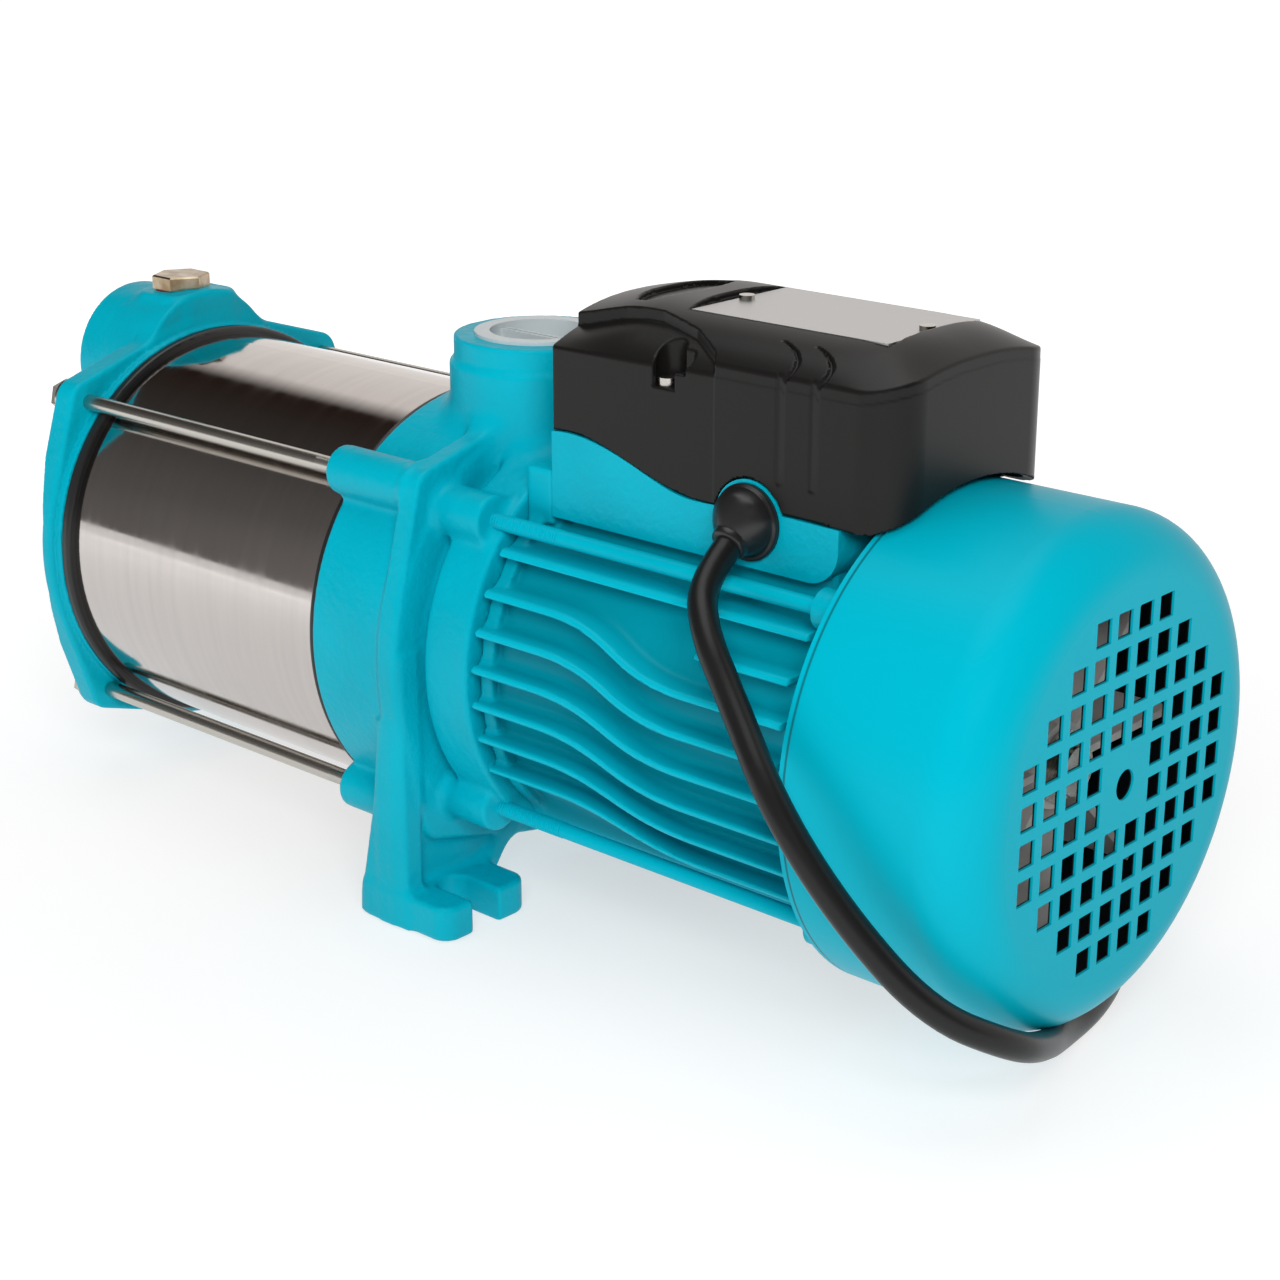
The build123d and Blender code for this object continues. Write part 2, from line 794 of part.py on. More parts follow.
    # Lugs clear of the sleeve end, then the tie-bolt and stud holes
    with BuildSketch(side_plane):
        band(lug_face - 1.0, casing_start, 0, sleeve_radius + 1.3)
    revolve(axis=shaft_axis, mode=Mode.SUBTRACT)
    with BuildSketch(across(lug_face)):
        with GridLocations(2 * tie_bolt_offset, 2 * tie_bolt_offset, 2, 2):
            Circle(tie_bolt_radius + seat_gap)
    extrude(amount=tie_bolt_engagement + 2, mode=Mode.SUBTRACT)
    with BuildSketch(across(stud_boss_end)):
        with GridLocations(2 * stud_offset, 2 * stud_offset, 2, 2):
            Circle(stud_radius + seat_gap)
    extrude(amount=stud_start - stud_boss_end - 2, mode=Mode.SUBTRACT)
    with BuildSketch(across(stud_boss_end)):
        with GridLocations(2 * stud_offset, 2 * stud_offset, 2, 2):
            Circle(stud_radius + bolt_gap)
    extrude(amount=motor_face - stud_boss_end, mode=Mode.SUBTRACT)
bracket.part.label = "bracket"
export_step(bracket.part, "parts/bracket.step")

# Outlet plug: a thin translucent cup with a rim and a double rib to pull it out by.
plug_cup_radius = plug_seat_radius - running_gap
with BuildPart() as outlet_plug:
    with BuildSketch(level(outlet_rise)):
        with Locations((outlet_x, 0)):
            Circle(plug_rim_radius)
    extrude(amount=plug_rim)
    with BuildSketch(level(outlet_rise)):
        with Locations((outlet_x, 0)):
            Circle(plug_cup_radius)
    extrude(amount=-plug_seat_depth + seat_gap)
    with BuildSketch(level(outlet_rise + plug_rim)):
        with Locations((outlet_x, 0)):
            Circle(plug_cup_radius - plug_wall)
    extrude(amount=-plug_seat_depth - plug_rim + seat_gap + plug_wall, mode=Mode.SUBTRACT)
    with BuildSketch(level(outlet_rise - plug_seat_depth + plug_wall)):
        with Locations((outlet_x, -plug_rib_pitch / 2), (outlet_x, plug_rib_pitch / 2)):
            Rectangle(2 * plug_cup_radius - plug_wall, plug_rib)
    extrude(amount=plug_seat_depth - plug_wall - plug_rib_drop)
outlet_plug.part.label = "outlet_plug"
export_step(outlet_plug.part, "parts/outlet_plug.step")

# Mechanical seal: a ceramic seat in the bracket wall and a sprung head on the shaft.
with BuildPart() as seal_seat:
    with BuildSketch(side_plane):
        band(
            wall_front,
            seal_seat_end - seat_gap,
            seal_shaft_radius + running_gap,
            seal_shaft_radius + seal_seat_width - press_gap,
        )
    revolve(axis=shaft_axis)
seal_seat.part.label = "seal_seat"
export_step(seal_seat.part, "parts/seal_seat.step")

seal_band_start = seal_shaft_radius + seal_head_width
with BuildPart() as seal_head:
    with BuildSketch(side_plane):
        band(
            wall_front - seal_head_length,
            wall_front - running_gap,
            seal_shaft_radius + press_gap,
            seal_band_start,
        )
        band(
            wall_front - seal_band_length - 1.0,
            wall_front - 1.0,
            seal_band_start,
            seal_band_start + seal_band_width,
        )
    revolve(axis=shaft_axis)
seal_head.part.label = "seal_head"
export_step(seal_head.part, "parts/seal_head.step")

# Slinger: a rubber disc that throws leaked drops off before they reach the bearing.
slinger_x = (seal_seat_end + front_bearing_start) / 2 - 1.0
slinger_bore = seal_shaft_radius + press_gap
with BuildPart() as water_slinger:
    with BuildSketch(side_plane):
        band(slinger_x, slinger_x + slinger_sheet, slinger_bore, seal_shaft_radius + slinger_width)
        band(
            slinger_x - slinger_collar_length,
            slinger_x,
            slinger_bore,
            seal_shaft_radius + slinger_collar,
        )
    revolve(axis=shaft_axis)
water_slinger.part.label = "water_slinger"
export_step(water_slinger.part, "parts/water_slinger.step")

# Shaft: one stepped shaft carries the impellers, the rotor and the fan.
front_seat_end = front_bearing_start + front_bearing_width
rear_seat_end = rear_bearing_start + rear_bearing_width
shoulder_x = stages_end + impeller_lead
with BuildPart() as shaft:
    with BuildSketch(side_plane):
        band(shaft_start, shoulder_x, 0, pump_shaft_radius)
        band(shoulder_x, front_bearing_start, 0, seal_shaft_radius)
        band(front_bearing_start, front_seat_end, 0, front_bearing_bore)
        band(front_seat_end, rear_bearing_start, 0, rotor_shaft_radius)
        band(rear_bearing_start, rear_seat_end, 0, rear_bearing_bore)
        band(rear_seat_end, shaft_end, 0, fan_shaft_radius)
    revolve(axis=shaft_axis)
shaft.part.label = "shaft"
export_step(shaft.part, "parts/shaft.step")

# Ball bearings: outer rings stay in their pockets, inner rings turn with the shaft, and
# the balls run in a groove between them.
bearings = (
    (
        "front",
        front_bearing_start,
        front_bearing_width,
        front_bearing_bore,
        front_bearing_outer,
        front_ball_radius,
    ),
    (
        "rear",
        rear_bearing_start,
        rear_bearing_width,
        rear_bearing_bore,
        rear_bearing_outer,
        rear_ball_radius,
    ),
)
for name, ring_start, ring_width, bore, outer, ball_radius in bearings:
    ring_end = ring_start + ring_width
    ring_middle = ring_start + ring_width / 2
    pitch_radius = (bore + outer) / 2
    with BuildPart() as outer_ring:
        with BuildSketch(side_plane):
            band(ring_start, ring_end, pitch_radius + ball_radius * ring_cover, outer)
            with Locations((ring_middle, pitch_radius)):
                Circle(ball_radius + running_gap, mode=Mode.SUBTRACT)
        revolve(axis=shaft_axis)
    outer_ring.part.label = f"{name}_bearing_outer"
    export_step(outer_ring.part, f"parts/{name}_bearing_outer.step")
    with BuildPart() as inner_ring:
        with BuildSketch(side_plane):
            band(ring_start, ring_end, bore + press_gap, pitch_radius - ball_radius * ring_cover)
            with Locations((ring_middle, pitch_radius)):
                Circle(ball_radius + press_gap, mode=Mode.SUBTRACT)
        revolve(axis=shaft_axis)
    inner_ring.part.label = f"{name}_bearing_inner"
    export_step(inner_ring.part, f"parts/{name}_bearing_inner.step")
    with BuildPart() as balls:
        with Locations(across(ring_middle)):
            with PolarLocations(pitch_radius, ball_count):
                Sphere(ball_radius)
    balls.part.label = f"{name}_bearing_balls"
    export_step(balls.part, f"parts/{name}_bearing_balls.step")

# Rotor: a stack of steel sheets with cast end rings, pressed on the shaft.
ring_outer = rotor_radius - 1.0
ring_inner = ring_outer - rotor_ring_width
with BuildPart() as rotor_core:
    with BuildSketch(side_plane):
        band(core_start, core_end, rotor_shaft_radius + press_gap, rotor_radius)
        band(core_start - rotor_ring, core_start, ring_inner, ring_outer)
        band(core_end, core_end + rotor_ring, ring_inner, ring_outer)
    revolve(axis=shaft_axis)
rotor_core.part.label = "rotor_core"
export_step(rotor_core.part, "parts/rotor_core.step")

# Stator: the sheet stack in the motor frame, and the copper windings at its two ends.
with BuildPart() as stator_core:
    with BuildSketch(side_plane):
        band(core_start, core_end, rotor_radius + air_gap, frame_bore - press_gap)
    revolve(axis=shaft_axis)
stator_core.part.label = "stator_core"
export_step(stator_core.part, "parts/stator_core.step")

winding_inner = rotor_radius + winding_gap
winding_outer = frame_bore - winding_gap
with BuildPart() as stator_windings:
    with BuildSketch(side_plane):
        band(core_start - winding_length, core_start, winding_inner, winding_outer)
        band(core_end, core_end + winding_length, winding_inner, winding_outer)
        fillet(vertices(), radius=winding_round)
    revolve(axis=shaft_axis)
stator_windings.part.label = "stator_windings"
export_step(stator_windings.part, "parts/stator_windings.step")

# Motor frame: cast aluminium. Horizontal side fins that step down in a smooth wave, straight
# fins below, a ring that seats on the bracket, and the pad under the terminal box.
fin_start = motor_face + flange_ring
with BuildPart() as motor_housing:
    with BuildSketch(side_plane):
        with Locations(((fin_start + frame_end) / 2, fin_top)):
            Rectangle(frame_end - fin_start, fin_thickness)
        with Locations(((wave_end + frame_end) / 2, fin_top - fin_pitch)):
            Rectangle(frame_end - wave_end, fin_thickness)
    extrude(amount=fin_radius, both=True)
    for row in range(1, fin_rows):
        upper = fin_top - row * fin_pitch + fin_thickness / 2
        lower = upper - fin_thickness
        wave_middle = (wave_start + wave_end) / 2
        with BuildSketch(side_plane):
            with BuildLine():
                Line((fin_start, upper), (wave_start, upper))
                Bezier(
                    (wave_start, upper),
                    (wave_middle, upper),
                    (wave_middle, upper - fin_pitch),
                    (wave_end, upper - fin_pitch),
                )
                Line((wave_end, upper - fin_pitch), (frame_end, upper - fin_pitch))
                Line((frame_end, upper - fin_pitch), (frame_end, lower - fin_pitch))
                Line((frame_end, lower - fin_pitch), (wave_end, lower - fin_pitch))
                Bezier(
                    (wave_end, lower - fin_pitch),
                    (wave_middle, lower - fin_pitch),
                    (wave_middle, lower),
                    (wave_start, lower),
                )
                Line((wave_start, lower), (fin_start, lower))
                Line((fin_start, lower), (fin_start, upper))
            make_face()
        extrude(amount=fin_radius, both=True)
    with BuildSketch(side_plane):
        band(fin_start, frame_end, frame_bore + 1.0, fin_radius)
    revolve(axis=shaft_axis, mode=Mode.INTERSECT)
    with BuildSketch(side_plane):
        band(motor_face, frame_end, 0, barrel_radius)
        band(motor_face, fin_start, 0, flange_ring_radius)
    revolve(axis=shaft_axis)
    for fin in range(bottom_fins):
        fin_y = (fin - (bottom_fins - 1) / 2) * bottom_fin_pitch
        fin_tip = math.sqrt(bottom_fin_radius**2 - fin_y**2)
        fin_root = math.sqrt((barrel_radius - 1) ** 2 - fin_y**2)
        with BuildSketch(across(fin_start)):
            with Locations((fin_y, -(fin_tip + fin_root) / 2)):
                Rectangle(fin_thickness, fin_tip - fin_root)
        extrude(amount=frame_end - fin_start)
    with BuildSketch(level(pad_rise)):
        with Locations(((pad_start + pad_end) / 2, 0)):
            Rectangle(pad_end - pad_start, 2 * pad_half_width)
    extrude(amount=-pad_depth)
    with BuildSketch(across(motor_face)):
        with Locations((0, (tab_rise + tab_foot) / 2)):
            Rectangle(2 * tab_half_width, tab_rise - tab_foot)
    extrude(amount=tab_length)
    with BuildSketch(side_plane):
        band(motor_face - 1.0, frame_end + 1.0, 0, frame_bore)
    revolve(axis=shaft_axis, mode=Mode.SUBTRACT)
    with BuildSketch(across(motor_face)):
        with GridLocations(2 * stud_offset, 2 * stud_offset, 2, 2):
            Circle(stud_radius + bolt_gap)
    extrude(amount=frame_length, mode=Mode.SUBTRACT)
    with BuildSketch(level(pad_rise)):
        with Locations((lead_hole_x, 0)):
            Circle(lead_hole_radius)
        with Locations((base_screw_left, 0), (base_screw_right, 0)):
            Circle(base_screw_radius + seat_gap)
    extrude(amount=-pad_depth, mode=Mode.SUBTRACT)
motor_housing.part.label = "motor_housing"
export_step(motor_housing.part, "parts/motor_housing.step")

# Rear end shield: closes the frame, holds the rear bearing and the lugs for the studs, and
# carries two blocks that the fan cover is screwed to.
shield_pocket = rear_seat_end + wave_gap
with BuildPart() as rear_end_shield:
    with BuildSketch(across(frame_end)):
        Circle(shield_radius)
        with GridLocations(2 * stud_offset, 2 * stud_offset, 2, 2):
            Circle(shield_lug_radius)
    extrude(amount=shield_thickness)
    with BuildSketch(side_plane):
        band(frame_end - spigot_length, frame_end, frame_bore - spigot_wall, frame_bore - seat_gap)
        band(rear_bearing_start - shield_hub_lead, frame_end, 0, shield_hub_radius)
    revolve(axis=shaft_axis)
    with BuildSketch(across(frame_end)):
        with Locations((shield_radius, 0), (0, -shield_radius)):
            Rectangle(cover_block, cover_block)
        Circle(fan_cover_radius - fan_cover_wall - running_gap, mode=Mode.INTERSECT)
    extrude(amount=cover_block)
    with BuildSketch(side_plane):
        band(rear_bearing_start - 2 * shield_hub_lead, shield_pocket, 0, rear_bearing_outer + press_gap)
        band(shield_pocket, shield_back + 1.0, 0, rear_bearing_bore + shaft_hole_gap)
    revolve(axis=shaft_axis, mode=Mode.SUBTRACT)
    with BuildSketch(across(frame_end)):
        with GridLocations(2 * stud_offset, 2 * stud_offset, 2, 2):
            Circle(stud_radius + bolt_gap)
    extrude(amount=shield_thickness, mode=Mode.SUBTRACT)
    with BuildSketch(Plane.XZ.offset(-fan_cover_radius)):
        with Locations((cover_screw_x, shaft_height)):
            Circle(cover_screw_radius + seat_gap)
    extrude(amount=cover_screw_length, mode=Mode.SUBTRACT)
    with BuildSketch(level(-fan_cover_radius)):
        with Locations((cover_screw_x, 0)):
            Circle(cover_screw_radius + seat_gap)
    extrude(amount=cover_screw_length, mode=Mode.SUBTRACT)
rear_end_shield.part.label = "rear_end_shield"
export_step(rear_end_shield.part, "parts/rear_end_shield.step")

# Wave washer: springs the rear bearing forward.
with BuildPart() as wave_washer:
    with BuildSketch(side_plane):
        band(
            rear_seat_end + seat_gap,
            shield_pocket - seat_gap,
            rear_bearing_outer - wave_washer_width,
            rear_bearing_outer - seat_gap,
        )
    revolve(axis=shaft_axis)
wave_washer.part.label = "wave_washer"
export_step(wave_washer.part, "parts/wave_washer.step")

# Motor studs: four long studs from the bracket to the rear end shield, with a nut on each.
with BuildPart() as motor_studs:
    with BuildSketch(across(stud_start)):
        with GridLocations(2 * stud_offset, 2 * stud_offset, 2, 2):
            Circle(stud_radius)
    extrude(amount=shield_back + stud_nut_height + stud_tip - stud_start)
    with BuildSketch(across(shield_back)):
        with GridLocations(2 * stud_offset, 2 * stud_offset, 2, 2):
            RegularPolygon(stud_nut / 2, 6, major_radius=False)
    extrude(amount=stud_nut_height)
motor_studs.part.label = "motor_studs"
export_step(motor_studs.part, "parts/motor_studs.step")

# Cooling fan: moulded plastic, straight blades on a plate so that it works both ways round.
fan_end = fan_start + fan_width
with BuildPart() as cooling_fan:
    with BuildSketch(side_plane):
        band(fan_start, fan_start + fan_plate, 0, fan_radius - fan_plate_gap)
        band(fan_start, fan_end, 0, fan_hub_radius)
    revolve(axis=shaft_axis)
    with BuildSketch(across(fan_start)):
        with PolarLocations((fan_radius + fan_blade_start) / 2, fan_blades):
            Rectangle(fan_radius - fan_blade_start, fan_blade_thickness)
    extrude(amount=fan_width)
    with BuildSketch(across(fan_start)):
        Circle(fan_shaft_radius + press_gap)
    extrude(amount=fan_width, mode=Mode.SUBTRACT)
cooling_fan.part.label = "cooling_fan"
export_step(cooling_fan.part, "parts/cooling_fan.step")

# Fan clip: a spring ring that holds the fan on the shaft.
clip_start = fan_end + seat_gap
clip_bore = fan_shaft_radius + press_gap
with BuildPart() as fan_clip:
    with BuildSketch(side_plane):
        band(clip_start, clip_start + fan_clip_sheet, clip_bore, fan_shaft_radius + fan_clip_width)
    revolve(axis=shaft_axis)
fan_clip.part.label = "fan_clip"
export_step(fan_clip.part, "parts/fan_clip.step")

# Fan cover: a deep-drawn steel cap with a grille of square holes punched in its end.
round_start = cover_end - fan_cover_round
flat_radius = fan_cover_radius - fan_cover_round
skin_radius = fan_cover_round - fan_cover_wall
cover_inside = fan_cover_radius - fan_cover_wall
end_inside = cover_end - fan_cover_wall
grille_holes = []
for column in range(grille_rows):
    for line in range(grille_rows):
        hole_y = column - grille_half_rows
        hole_z = line - grille_half_rows
        central = abs(hole_y) < 1 and abs(hole_z) < 1
        if abs(hole_y) + abs(hole_z) <= grille_reach and not central:
            grille_holes.append((hole_y * grille_pitch, hole_z * grille_pitch))
with BuildPart() as fan_cover:
    with BuildSketch(side_plane):
        with BuildLine():
            Line((cover_rim, fan_cover_radius), (round_start, fan_cover_radius))
            CenterArc((round_start, flat_radius), fan_cover_round, 0, 90)
            Line((cover_end, flat_radius), (cover_end, 0))
            Line((cover_end, 0), (end_inside, 0))
            Line((end_inside, 0), (end_inside, flat_radius))
            CenterArc((round_start, flat_radius), skin_radius, 0, 90)
            Line((round_start, cover_inside), (cover_rim, cover_inside))
            Line((cover_rim, cover_inside), (cover_rim, fan_cover_radius))
        make_face()
    revolve(axis=shaft_axis)
    with BuildSketch(across(cover_end)):
        with Locations(*grille_holes):
            Rectangle(grille_hole, grille_hole)
        Circle(grille_centre_radius)
    extrude(amount=-2 * fan_cover_wall, mode=Mode.SUBTRACT)
    with BuildSketch(Plane.XZ.offset(-fan_cover_radius - 1.0)):
        with Locations((cover_screw_x, shaft_height)):
            Circle(cover_screw_radius + bolt_gap)
    extrude(amount=2 * fan_cover_wall + 1.0, mode=Mode.SUBTRACT)
    with BuildSketch(level(-fan_cover_radius - 1.0)):
        with Locations((cover_screw_x, 0)):
            Circle(cover_screw_radius + bolt_gap)
    extrude(amount=2 * fan_cover_wall + 1.0, mode=Mode.SUBTRACT)
fan_cover.part.label = "fan_cover"
export_step(fan_cover.part, "parts/fan_cover.step")

with BuildPart() as fan_cover_screws:
    with BuildSketch(Plane.XZ.offset(-fan_cover_radius)):
        with Locations((cover_screw_x, shaft_height)):
            Circle(cover_screw_radius * 2)
    extrude(amount=-cover_screw_head)
    with BuildSketch(Plane.XZ.offset(-fan_cover_radius)):
        with Locations((cover_screw_x, shaft_height)):
            Circle(cover_screw_radius)
    extrude(amount=cover_screw_length - 1.0)
    with BuildSketch(level(-fan_cover_radius)):
        with Locations((cover_screw_x, 0)):
            Circle(cover_screw_radius * 2)
    extrude(amount=-cover_screw_head)
    with BuildSketch(level(-fan_cover_radius)):
        with Locations((cover_screw_x, 0)):
            Circle(cover_screw_radius)
    extrude(amount=cover_screw_length - 1.0)
fan_cover_screws.part.label = "fan_cover_screws"
export_step(fan_cover_screws.part, "parts/fan_cover_screws.step")

# Terminal box base: a painted cast tray on the motor pad. Its rim follows the wave in the
# lower edge of the cover, and a round collar in its near wall takes the cable gland.
floor_top = pad_rise + base_floor
box_inside = box_half_width - base_wall
with BuildPart() as terminal_box_base:
    with BuildSketch(side_plane):
        with BuildLine():
            Spline(*[(x, rise - lip_gap) for x, rise in lip_points])
            Line((box_end, lip_points[-1][1] - lip_gap), (box_end, base_skirt_rise))
            Line((box_end, base_skirt_rise), (box_start, base_skirt_rise))
            Line((box_start, base_skirt_rise), (box_start, lip_points[0][1] - lip_gap))
        make_face()
    extrude(amount=box_half_width, both=True)
    with BuildSketch(level(base_skirt_rise)):
        with Locations(((box_start + base_end) / 2, 0)):
            Rectangle(base_end - box_start, 2 * box_half_width)
    extrude(amount=box_top_rise - base_skirt_rise, mode=Mode.INTERSECT)
    lower_edges = terminal_box_base.edges().filter_by(Axis.Y).sort_by(Axis.Z)[:2]
    fillet(lower_edges.sort_by(Axis.X)[-1], radius=base_corner)
    with BuildSketch(side_plane.offset(box_half_width)):
        with Locations((gland_x, gland_rise)):
            Circle(gland_collar_radius)
    extrude(amount=-base_wall)
    with BuildSketch(level(pad_rise)):
        with Locations(((box_start + base_end) / 2, 0)):
            Rectangle(base_end - box_start - 2 * base_wall, 2 * box_inside)
    extrude(amount=base_skirt_rise - pad_rise, mode=Mode.SUBTRACT)
    with BuildSketch(level(floor_top)):
        with Locations(((box_start + base_end) / 2, 0)):
            Rectangle(base_end - box_start - 2 * base_wall, 2 * box_inside)
    extrude(amount=box_top_rise - floor_top, mode=Mode.SUBTRACT)
    with BuildSketch(level(pad_rise)):
        with Locations((box_screw_x, box_screw_y), (box_screw_x, -box_screw_y)):
            Circle(box_post_radius)
    extrude(amount=box_post_top - pad_rise)
    with BuildSketch(level(box_tube_rise)):
        with Locations((box_screw_x, box_screw_y), (box_screw_x, -box_screw_y)):
            Circle(box_screw_radius + press_gap)
    extrude(amount=box_post_top - box_thread_depth - box_tube_rise, mode=Mode.SUBTRACT)
    with BuildSketch(side_plane):
        band(box_start - 1.0, base_end + 1.0, 0, barrel_radius + running_gap)
    revolve(axis=shaft_axis, mode=Mode.SUBTRACT)
    with BuildSketch(side_plane.offset(box_half_width)):
        with Locations((gland_x, gland_rise)):
            Circle(gland_hole_radius)
    extrude(amount=-base_wall, mode=Mode.SUBTRACT)
    with BuildSketch(level(floor_top)):
        with Locations((lead_hole_x, 0)):
            Circle(lead_hole_radius)
        with Locations((base_screw_left, 0), (base_screw_right, 0)):
            Circle(base_screw_radius + bolt_gap)
    extrude(amount=-base_floor, mode=Mode.SUBTRACT)
terminal_box_base.part.label = "terminal_box_base"
export_step(terminal_box_base.part, "parts/terminal_box_base.step")

with BuildPart() as base_screws:
    with BuildSketch(level(floor_top)):
        with Locations((base_screw_left, 0), (base_screw_right, 0)):
            Circle(base_screw_radius * 2)
    extrude(amount=base_screw_radius)
    with BuildSketch(level(floor_top)):
        with Locations((base_screw_left, 0), (base_screw_right, 0)):
            Circle(base_screw_radius)
    extrude(amount=frame_bore + 1.0 - floor_top)
base_screws.part.label = "base_screws"
export_step(base_screws.part, "parts/base_screws.step")

# Terminal box cover: a deep moulded hood with an arched roof and a wavy lower lip. It reaches
# past the base over the fan cover, where its underside is cut to an arc.
hoods = []
for inset in (0.0, box_wall):
    left = box_start + inset
    right = box_end - inset
    half_width = box_half_width - inset
    side_rise = box_side_rise - inset / 2
    shoulder_rise = box_shoulder_rise - inset
    roof_rise = box_top_rise - inset
    nose_rise = box_nose_rise - inset
    with BuildPart() as hood:
        with BuildSketch(side_plane):
            with BuildLine():
                Polyline(
                    (right, nose_rise),
                    (right, base_skirt_rise),
                    (left, base_skirt_rise),
                    (left, roof_rise),
                    (nose_start, roof_rise),
                )
                Bezier(
                    (nose_start, roof_rise),
                    (nose_start + box_nose_length * box_nose_fullness, roof_rise),
                    (right, nose_rise + box_nose_ease),
                    (right, nose_rise),
                )
            make_face()
        extrude(amount=half_width, both=True)
        with BuildSketch(across(box_start)):
            with BuildLine():
                Spline(
                    (-half_width, side_rise),
                    (-box_shoulder, shoulder_rise),
                    (0, roof_rise),
                    (box_shoulder, shoulder_rise),
                    (half_width, side_rise),
                )
                Polyline(
                    (half_width, side_rise),
                    (half_width, 0),
                    (-half_width, 0),
                    (-half_width, side_rise),
                )
            make_face()
        extrude(amount=box_end - box_start, mode=Mode.INTERSECT)
        with BuildSketch(level(0)):
            with Locations(((left + right) / 2, 0)):
                RectangleRounded(right - left, 2 * half_width, radius=box_corner - inset)
            with Locations((left + box_corner, 0)):
                Rectangle(2 * box_corner, 2 * half_width)
        extrude(amount=box_top_rise, mode=Mode.INTERSECT)
    hoods.append(hood.part)
partition_foot = lip_points[4][1] + 1.0
with BuildPart() as terminal_box_cover:
    add(hoods[0])
    add(hoods[1], mode=Mode.SUBTRACT)
    # Inner partition above the end of the base, and a tube for each of the two long screws
    with BuildSketch(level(partition_foot)):
        with Locations((base_end + box_partition * 3 / 4, 0)):
            Rectangle(box_partition, 2 * box_half_width)
    extrude(amount=box_nose_rise - partition_foot)
    with BuildSketch(level(box_tube_rise)):
        with Locations((box_screw_x, box_screw_y), (box_screw_x, -box_screw_y)):
            Circle(box_post_radius)
    extrude(amount=box_screw_rise - box_tube_rise)
    with BuildSketch(level(box_screw_rise)):
        with Locations((box_screw_x, box_screw_y), (box_screw_x, -box_screw_y)):
            Circle(box_post_radius + box_tube_flange)
    extrude(amount=-box_tube_flange_sheet)
    add(hoods[0], mode=Mode.INTERSECT)
    # The lower edge, cut to the lip's wave
    with BuildSketch(side_plane):
        with BuildLine():
            Spline(*lip_points)
            Polyline(lip_points[-1], (box_end, 0), (box_start, 0), lip_points[0])
        make_face()
    extrude(amount=box_half_width + 1.0, both=True, mode=Mode.SUBTRACT)
    # Pockets for the screw heads, the recess for the rating plate and the screw holes
    with BuildSketch(level(box_screw_rise)):
        with Locations((box_screw_x, box_screw_y), (box_screw_x, -box_screw_y)):
            Circle(box_post_radius)
        with Locations((box_screw_x, box_half_width), (box_screw_x, -box_half_width)):
            Rectangle(2 * box_post_radius, 2 * (box_half_width - box_screw_y))
    extrude(amount=box_top_rise - box_screw_rise, mode=Mode.SUBTRACT)
    with BuildSketch(level(box_screw_rise)):
        with Locations((box_screw_x, box_screw_y), (box_screw_x, -box_screw_y)):
            Circle(box_screw_radius + bolt_gap)
    extrude(amount=box_post_top - box_screw_rise, mode=Mode.SUBTRACT)
    with BuildSketch(level(plate_rise - plate_sheet)):
        with Locations((plate_x, 0)):
            Rectangle(plate_length + 2 * plate_recess_gap, plate_width + 2 * plate_recess_gap)
    extrude(amount=plate_recess_depth, mode=Mode.SUBTRACT)
    with BuildSketch(level(plate_rise - plate_sheet)):
        with Locations((plate_x, 0)):
            with GridLocations(plate_screw_pitch, 0, 2, 1):
                Circle(plate_screw_radius + seat_gap)
    extrude(amount=-box_wall, mode=Mode.SUBTRACT)
    with BuildSketch(side_plane.offset(box_half_width)):
        with Locations((gland_x, gland_rise)):
            Circle(gland_collar_radius + lip_gap)
    extrude(amount=-box_half_width, mode=Mode.SUBTRACT)
    with BuildSketch(side_plane):
        band(frame_end, box_end + 1.0, 0, box_arch_radius)
    revolve(axis=shaft_axis, mode=Mode.SUBTRACT)
terminal_box_cover.part.label = "terminal_box_cover"
export_step(terminal_box_cover.part, "parts/terminal_box_cover.step")

with BuildPart() as box_cover_screws:
    with BuildSketch(level(box_screw_rise)):
        with Locations((box_screw_x, box_screw_y), (box_screw_x, -box_screw_y)):
            Circle(box_screw_head)
    extrude(amount=box_screw_head_height)
    with BuildSketch(level(box_screw_rise)):
        with Locations((box_screw_x, box_screw_y), (box_screw_x, -box_screw_y)):
            Circle(box_screw_radius)
    extrude(amount=box_post_top - box_thread_depth + 1.0 - box_screw_rise)
box_cover_screws.part.label = "box_cover_screws"
export_step(box_cover_screws.part, "parts/box_cover_screws.step")

# Rating plate: bare sheet aluminium, held by two round-head screws.
with BuildPart() as rating_plate:
    with BuildSketch(level(plate_rise - plate_sheet)):
        with Locations((plate_x, 0)):
            Rectangle(plate_length, plate_width)
            with GridLocations(plate_screw_pitch, 0, 2, 1):
                Circle(plate_screw_radius + seat_gap, mode=Mode.SUBTRACT)
    extrude(amount=plate_sheet)
rating_plate.part.label = "rating_plate"
export_step(rating_plate.part, "parts/rating_plate.step")

with BuildPart() as rating_plate_screws:
    with BuildSketch(level(plate_rise)):
        with Locations((plate_x, 0)):
            with GridLocations(plate_screw_pitch, 0, 2, 1):
                Circle(plate_screw_head)
    extrude(amount=plate_screw_head_height)
    with BuildSketch(level(plate_rise)):
        with Locations((plate_x, 0)):
            with GridLocations(plate_screw_pitch, 0, 2, 1):
                Circle(plate_screw_radius)
    extrude(amount=-plate_screw_length)
rating_plate_screws.part.label = "rating_plate_screws"
export_step(rating_plate_screws.part, "parts/rating_plate_screws.step")

